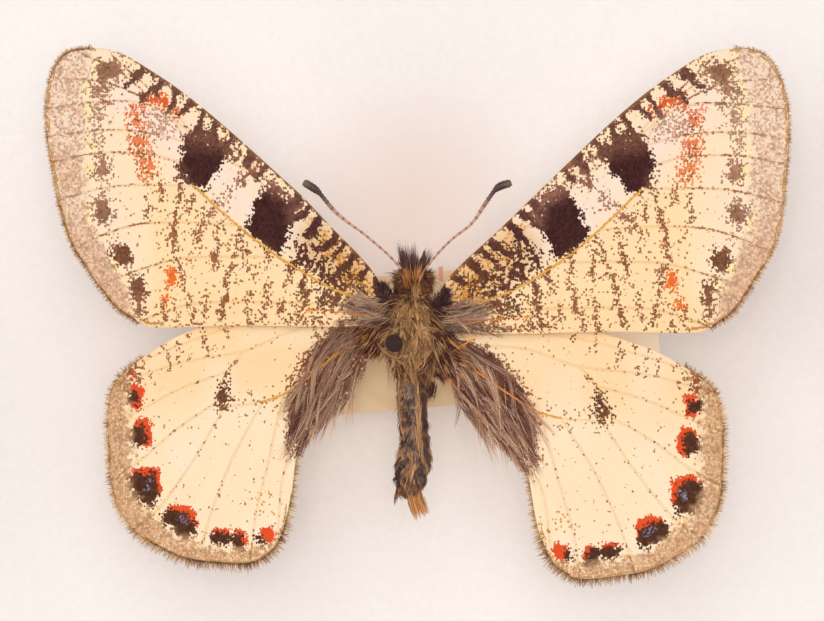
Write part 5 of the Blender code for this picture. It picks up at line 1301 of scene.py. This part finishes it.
# amber veins that show through the hair
BARE_VEINS = {"hind": ([(3.0, -3.3), (4.0, -2.6), (5.0, -2.0)],
                       [(4.6, -4.4), (6.2, -5.6), (7.6, -6.5), (9.3, -7.6)]),
              "fore": ([(3.2, -1.0), (4.4, -0.95), (5.8, -0.75)],)}
for side, name in ((1, "right"), (-1, "left")):
    draw = np.random.default_rng(40 + side)
    for kind, table in (("hind", HIND_HAIR), ("fore", FORE_HAIR)):
        made = [wing_hair(draw, kind, side, *row) for row in table]
        made += [wisp(draw, kind, side, *row[1:], ("#d6ba9a", "#b3937a", "#94705c"), (4, 4, 3))
                 for row in WISPS[kind] for _ in range(row[0])]
        for path in BARE_VEINS[kind]:
            placed = set_wing(kind, side, path)
            line = np.column_stack([placed, wing_level(kind, placed) + 0.34])
            made.append(bundle(draw, line, 40, 0.035, (AMBER, "#e0a044", "#c07a34"), (3, 3, 2), (0.3, 0.6),
                               0.03, 1.0))
        join_wing_hair(f"hair_{kind}wing_{name}", made)

# %% [markdown]
# ## Feelers, legs, tongue and eyes
#
# These are smooth tubes carried along the same paths as the solids. A feeler's shaft is ringed, tan with
# brown joints, and swells into a dark club. A leg tapers from a stout thigh to a thin foot. The eyes are
# dark domes with facets far too small to see, so a fine bump gives them their satin gleam.

# %% Tubes


def tube_piece(name, route, radii, finish, replaced, sides=12, step=0.08, tone=None):
    """A closed tube: rings of a given radius share carried along a smooth path, each turned from the last."""
    line = curve(route, step)
    run = np.linspace(0, 1, len(line))
    reach = np.interp(run, np.linspace(0, 1, len(radii)), radii) if not callable(radii) else radii(run)
    heading = np.gradient(line, axis=0)
    heading /= np.linalg.norm(heading, axis=1, keepdims=True)
    aside = np.cross(heading[0], [0.0, 0.02, 1.0])
    if np.linalg.norm(aside) < 0.1:
        aside = np.array([1.0, 0.0, 0.0])
    rows = []
    for along in heading:
        aside = aside - along * (aside @ along)
        aside = aside / np.linalg.norm(aside)
        rows.append(aside)
    rows = np.array(rows)
    over = np.cross(rows, heading)
    turn = np.arange(sides) * 2 * np.pi / sides
    turned = rows[:, None] * np.cos(turn)[:, None] + over[:, None] * np.sin(turn)[:, None]
    shell = line[:, None] + reach[:, None, None] * turned
    points = np.vstack([shell.reshape(-1, 3), line[:1], line[-1:]])
    faces = ring_faces(len(line), sides)
    a, b, c = (points[faces[:, i]] for i in range(3))
    faces = faces if np.sum(a * np.cross(b, c)) > 0 else faces[:, ::-1]
    attributes = []
    if tone is not None:
        colours = tone(run)
        attributes = [("tone", np.vstack([np.repeat(colours, sides, axis=0), colours[:1], colours[-1:]]))]
    made = piece(name, points, faces, finish, attributes)
    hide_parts(replaced)
    print(name, len(faces), "triangles")


horn, shader = new_material("ringed_tan_chitin", 0.42, 0.4)
paint(horn, shader, own_field(horn, "tone"))
HEAD_AT, HEAD_HALF = np.array([0.12, 2.2, 25.3]), np.array([1.1, 0.95, 1.05])


def leave_head(direction, power=2.5):
    """Where a ray from the head's middle leaves the solid head, and the ray."""
    ray = np.array(direction, float)
    ray /= np.linalg.norm(ray)
    return HEAD_AT + ray * (np.abs(ray / HEAD_HALF) ** power).sum() ** (-1 / power), ray


FEELERS = {
    "left": [(-1.9, 4.35, 27.1), (-3.6, 5.8, 27.5), (-5.1, 6.9, 27.8), (-6.1, 7.8, 28.0), (-7.2, 9.1, 28.2),
             (-8.3, 9.85, 28.3)],
    "right": [(2.0, 4.4, 27.1), (3.1, 5.5, 27.5), (4.55, 6.65, 27.8), (5.5, 8.0, 28.0), (6.5, 9.35, 28.2),
              (7.6, 9.8, 28.3)],
}
SEGMENTS = 38   # rings of a feeler


def feeler_radius(run):
    """Shaft radius with a slight swell at each joint, growing into the club over the last quarter."""
    joint = 1 + 0.12 * np.cos(2 * np.pi * SEGMENTS * run)
    club = ease(run, 0.84, 0.92) * (1 - 0.6 * ease(run, 0.98, 1.0))
    shaft = (0.092 + 0.07 * ease(run, 0.5, 0.78)) * joint
    return shaft * (1 - club) + 0.31 * club * (1 + 0.03 * np.cos(2 * np.pi * SEGMENTS * run))


def feeler_tone(run):
    """Tan shaft with brown joints, then the slate-dark club with an olive tip."""
    ring = (0.5 + 0.5 * np.cos(2 * np.pi * SEGMENTS / 2 * run)) ** 2
    colour = linear("#cda184") + ring[:, None] * (linear("#966650") - linear("#cda184"))
    dark = ease(run, 0.66, 0.86)[:, None]
    colour = colour + dark * (linear("#4c3532") - colour)
    return colour + 0.6 * ease(run, 0.93, 0.99)[:, None] * (linear("#7a6848") - colour)


for side, name in ((-1, "left"), (1, "right")):
    foot, ray = leave_head((side * 0.5, 0.55, 0.75))
    route = [foot - 0.35 * ray, foot + ray * 0.75] + FEELERS[name]
    tube_piece(f"antenna_{name}_ringed", route, feeler_radius, horn, f"antenna_{name}", 14, 0.05,
               feeler_tone)

cuticle, shader = new_material("dark_leg_chitin", 0.4, 0.4)
# pale dust in specks 0.2 mm apart
dust = add(cuticle, "ShaderNodeTexNoise", Vector=object_place(cuticle), Scale=5000.0, Detail=2.0)
share = steps(cuticle, dust.outputs["Fac"], 0.5, 0.6, 0.0, 0.6)
paint(cuticle, shader, blend(cuticle, share, (*linear("#3a2b24"), 1), (*linear("#8f7350"), 1)))
# 0.6 mm under the thorax, whose middle is 25.5 mm high with a half height of 2.1 mm
LEG_TOP = 25.5 - 2.1 - 0.6
LEG_ROUTES = {
    "leg_fore": [(0.95, -0.2, 0.0), (1.0, 0.1, -0.6), (1.3, 1.6, None), (1.2, 0.9, None),
                 (1.5, -0.7, None)],
    "leg_mid": [(1.2, -1.15, 0.0), (1.5, -1.1, -0.6), (1.95, -1.3, None), (1.9, -2.9, None),
                (1.3, -4.6, None)],
    "leg_hind": [(0.9, -3.7, 0.0), (1.0, -4.0, -0.5), (0.95, -5.6, None), (0.85, -7.6, None),
                 (0.75, -9.8, None)],
}
LEG_LEVELS = {"leg_fore": (22.0, 21.2, 20.9), "leg_mid": (21.9, 21.1, 20.7), "leg_hind": (22.2, 21.7, 21.4)}
THIGH_TO_FOOT = (0.22, 0.25, 0.25, 0.2, 0.16, 0.14, 0.14, 0.11, 0.09, 0.1, 0.05)
for kind, route in LEG_ROUTES.items():
    for side, name in ((-1, "left"), (1, "right")):
        heights = [LEG_TOP + route[0][2] + 0.9, LEG_TOP + route[1][2], *LEG_LEVELS[kind]]
        knots = [(side * x, y, z) for (x, y, _), z in zip(route, heights)]
        tube_piece(f"{kind}_{name}_jointed", knots, THIGH_TO_FOOT, cuticle, f"{kind}_{name}")

foot, _ = leave_head((0, 0.35, -1))
COIL_TURNS, COIL_PITCH = 1.15, 0.86
out = COIL_PITCH * (COIL_TURNS + 0.35)
share = np.linspace(0, 1, 44)
turn = np.pi / 2 + 2 * np.pi * COIL_TURNS * share
reach = out - COIL_PITCH * COIL_TURNS * share
coil = np.column_stack([np.full(44, HEAD_AT[0]), foot[1] - out + reach * np.sin(turn),
                        foot[2] - 1.4 + reach * np.cos(turn)])
tube_piece("proboscis_coiled",
           np.vstack([[HEAD_AT[0], foot[1], foot[2] + 0.2], [HEAD_AT[0], foot[1], foot[2] - 0.8], coil]),
           (0.2, 0.19, 0.17, 0.14, 0.1), cuticle, "proboscis", 12, 0.06)
for side, name in ((-1, "left"), (1, "right")):
    foot, ray = leave_head((side * 0.4, 0.8, -0.5))
    route = [foot - 0.3 * ray, foot + 0.5 * ray, foot + np.array([side * 0.3, 1.35, -0.1]) + 0.3 * ray]
    tube_piece(f"palp_{name}_core", route, (0.2, 0.22, 0.18, 0.06), cuticle, f"palp_{name}")

draw = np.random.default_rng(17)
palp_hair = [bundle(draw, [(side * 0.42 + 0.12, 2.75, 24.85), (side * 0.55 + 0.12, 3.3, 24.75),
                           (side * 0.72 + 0.12, 4.15, 24.85)], 420, 0.13,
                    (DARK_HAIR, "#2a2024", OLIVE), (4, 3, 1), (0.3, 0.7), 0.02, 0.8) for side in (-1, 1)]
join_bundles("locks_palps", palp_hair)

# %% Eyes and pin
facets, shader = new_material("faceted_dark_eye", 0.2, 0.5)
# facets of 0.045 mm
grain = add(facets, "ShaderNodeTexVoronoi", Vector=object_place(facets), Scale=22000.0)
paint(facets, shader, "#1d1311")
rough_up(facets, shader, grain.outputs["Distance"], 0.2, 0.00001)
EYE_ROWS, EYE_TURNS = 31, 48
for side, name in ((-1, "left"), (1, "right")):
    low, high = (np.array(corner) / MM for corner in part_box(f"eye_{name}"))
    middle, half = (low + high) / 2, (high - low) / 2
    rows, columns = np.meshgrid(np.linspace(0, np.pi, EYE_ROWS + 2)[1:-1],
                                np.arange(EYE_TURNS) / EYE_TURNS * 2 * np.pi,
                                indexing="ij")
    dome = np.stack([np.sin(rows) * np.cos(columns), np.sin(rows) * np.sin(columns), np.cos(rows)],
                    -1).reshape(-1, 3)
    points = middle + half * np.vstack([dome, [(0, 0, 1)], [(0, 0, -1)]])
    made = piece(f"eye_{name}_dome", points, ring_faces(EYE_ROWS, EYE_TURNS), facets)
    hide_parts(f"eye_{name}")

PIN_LOW, PIN_HIGH = (corner[2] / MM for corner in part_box("pin"))
HEAD_RADIUS, SHAFT_RADIUS = 0.66, 0.27
ball = np.linspace(0.42, np.pi, 20)
profile = [(PIN_LOW, 0.03), (PIN_LOW + 1.6, SHAFT_RADIUS), (PIN_HIGH - 2.2, SHAFT_RADIUS)]
profile += [(PIN_HIGH - HEAD_RADIUS * 0.9 * (1 + math.cos(a)),
             max(0.02, HEAD_RADIUS * math.sin(a))) for a in ball]
sides = 40
turn = np.arange(sides) * 2 * np.pi / sides
shell = np.stack([np.stack([PIN_AT[0] + r * np.cos(turn), PIN_AT[1] + r * np.sin(turn), np.full(sides, z)],
                           -1) for z, r in profile])
points = np.vstack([shell.reshape(-1, 3), [(*PIN_AT, PIN_LOW)], [(*PIN_AT, PIN_HIGH)]])
made = piece("pin_turned", points, ring_faces(len(profile), sides)[:, ::-1], enamel)
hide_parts("pin")
print("eyes and pin made")

# %% [markdown]
# ## The fringe
#
# A butterfly's margin ends in a fringe of narrow scales. Each is a thin flake, about 0.3 to 0.6 mm long,
# longer and darker at the hind corners. Flakes start just inside the margin and point outwards across it.

# %% Fringes
fringe_finish, shader = new_material("fringe_scales", 0.6, 0.2)
paint(fringe_finish, shader, own_field(fringe_finish, "tone"))
FLAKE_HALF, FLAKE_LIFT = 0.031, 0.012   # half width and half thickness of a flake, in mm
FRINGES = {   # first and last outline point, length in mm by place, share of dark flakes by place
    "fore": (10, 21, lambda x, y: 0.28 + 0.12 * ease(y, 6.0, 0.0),
             lambda x, y: 0.35 + 0.35 * ease(y, 6.0, 1.0)),
    "hind": (7, 25, lambda x, y: 0.44 + 0.2 * ease(y, -15.5, -18.0),
             lambda x, y: 0.25 + 0.35 * ease(y, -17.0, -19.5))}
for kind, (first, last, length_at, dark_at) in FRINGES.items():
    rim = drawn_in(kind, curve(EDGES[kind][first:last], 0.036))
    heading = np.gradient(rim, axis=0)
    heading /= np.linalg.norm(heading, axis=1, keepdims=True)
    out = np.column_stack([-heading[:, 1], heading[:, 0]])
    for side, name in ((1, "right"), (-1, "left")):
        draw = np.random.default_rng(70 + side)
        roots, ends, shades = [], [], []
        for layer in range(2):
            wobble = 0.35 * draw.standard_normal(len(rim))
            ahead = out + wobble[:, None] * heading
            ahead /= np.linalg.norm(ahead, axis=1, keepdims=True)
            long_ = length_at(*rim.T) * draw.uniform(0.3, 1.3, len(rim)) * (1.0 if layer else 0.75)
            roots.append(rim - 0.08 * ahead)
            ends.append(rim + long_[:, None] * ahead)
            veined = ease(np.min([path_distance(rim, path) for path in VEINS[kind]], axis=0), 0.7, 0.2)
            dark = draw.random(len(rim)) < np.clip(dark_at(*rim.T) + 0.4 * veined, 0, 1)
            tone = np.where(dark[:, None], linear("#a0714f"), linear("#e2b98a"))
            shades.append(tone * draw.uniform(0.8, 1.15, (len(rim), 1)))
        root, end, shade = np.vstack(roots), np.vstack(ends), np.vstack(shades)
        along = np.vstack([heading, heading]) * FLAKE_HALF
        corners = [root - along, root + along, end + 0.25 * along, end - 0.25 * along]
        lifted = []
        for up in (FLAKE_LIFT, -FLAKE_LIFT):
            for flat in corners:
                placed = set_wing(kind, side, flat)
                lifted.append(np.column_stack([placed, wing_level(kind, placed) + up]))
        points = np.stack(lifted, 1).reshape(-1, 3)
        pattern = np.array([(0, 1, 2, 3), (7, 6, 5, 4), (0, 4, 5, 1), (1, 5, 6, 2), (2, 6, 7, 3),
                            (3, 7, 4, 0)])
        pattern = pattern if side > 0 else pattern[:, ::-1]
        faces = (np.arange(len(root))[:, None, None] * 8 + pattern[None]).reshape(-1, 4)
        made = piece(f"fringe_{kind}wing_{name}", points, faces, fringe_finish,
                     [("tone", np.repeat(shade, 8, axis=0))], smooth=False)
        print(made.name, len(faces) * 2, "triangles")

# %% [markdown]
# ## The camera and the light
#
# The photo looks straight down from afar. The camera stands 400 mm above the wings with a long lens, so that
# 63.4 mm of the wings' plane fills the picture's width. A large soft panel overhead, a small one near the
# camera's line and two weaker ones at the sides give light without hard shadows.

# %% Floor, camera and lamps
floor_finish, shader = new_material("plain_pale_floor", 0.9, 0.1)
paint(floor_finish, shader, "#efece9")
mesh = bpy.data.meshes.new("floor")
mesh.from_pydata([(-1.5, -1.5, 0), (1.5, -1.5, 0), (1.5, 1.5, 0), (-1.5, 1.5, 0)], [], [(0, 1, 2, 3)])
mesh.materials.append(floor_finish)
floor = bpy.data.objects.new("floor", mesh)
bpy.context.scene.collection.objects.link(floor)
floor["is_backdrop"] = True

VIEW_HEIGHT, VIEW_WIDTH, SENSOR = 400.0, 63.38, 36.0
camera = bpy.data.cameras.new("photo_camera")
camera.sensor_width = SENSOR
camera.lens = SENSOR * VIEW_HEIGHT / VIEW_WIDTH
camera.clip_start = 0.01
camera.clip_end = 10.0
viewer = bpy.data.objects.new("photo_camera", camera)
viewer.location = (0, 0, (FORE_Z + VIEW_HEIGHT) * MM)
bpy.context.scene.collection.objects.link(viewer)
bpy.context.scene.camera = viewer

LAMPS = (   # name, place in metres, size in metres, watts
    ("overhead_panel", (-0.06, 0.1, 0.75), 0.5, 2.35),
    ("axis_panel", (0.0, 0.02, 0.8), 0.16, 1.2),
    ("left_panel", (-0.7, -0.1, 0.45), 0.5, 1.75),
    ("right_panel", (0.7, 0.1, 0.45), 0.5, 1.75),
)
for name, spot, size, watts in LAMPS:
    lamp = bpy.data.lights.new(name, "AREA")
    lamp.shape, lamp.size, lamp.energy = "SQUARE", size, watts
    lamp.color = (0.975, 1.0, 1.0)
    holder = bpy.data.objects.new(name, lamp)
    holder.location = spot
    holder.rotation_euler = (-Vector(spot) + Vector((0, 0, 0.02))).to_track_quat("-Z", "Y").to_euler()
    bpy.context.scene.collection.objects.link(holder)

world = bpy.data.worlds.new("pale_room")
world.use_nodes = True
world.node_tree.nodes["Background"].inputs["Color"].default_value = (1.0, 0.87, 0.81, 1.0)
world.node_tree.nodes["Background"].inputs["Strength"].default_value = 0.32
bpy.context.scene.world = world
bpy.context.scene.view_settings.view_transform = "Standard"
print("camera lens", round(camera.lens, 1), "mm")

# %% The size of the dressed model, printed
low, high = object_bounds()
print("visual box, mm:", [round(v / MM, 2) for v in (*low, *high)])
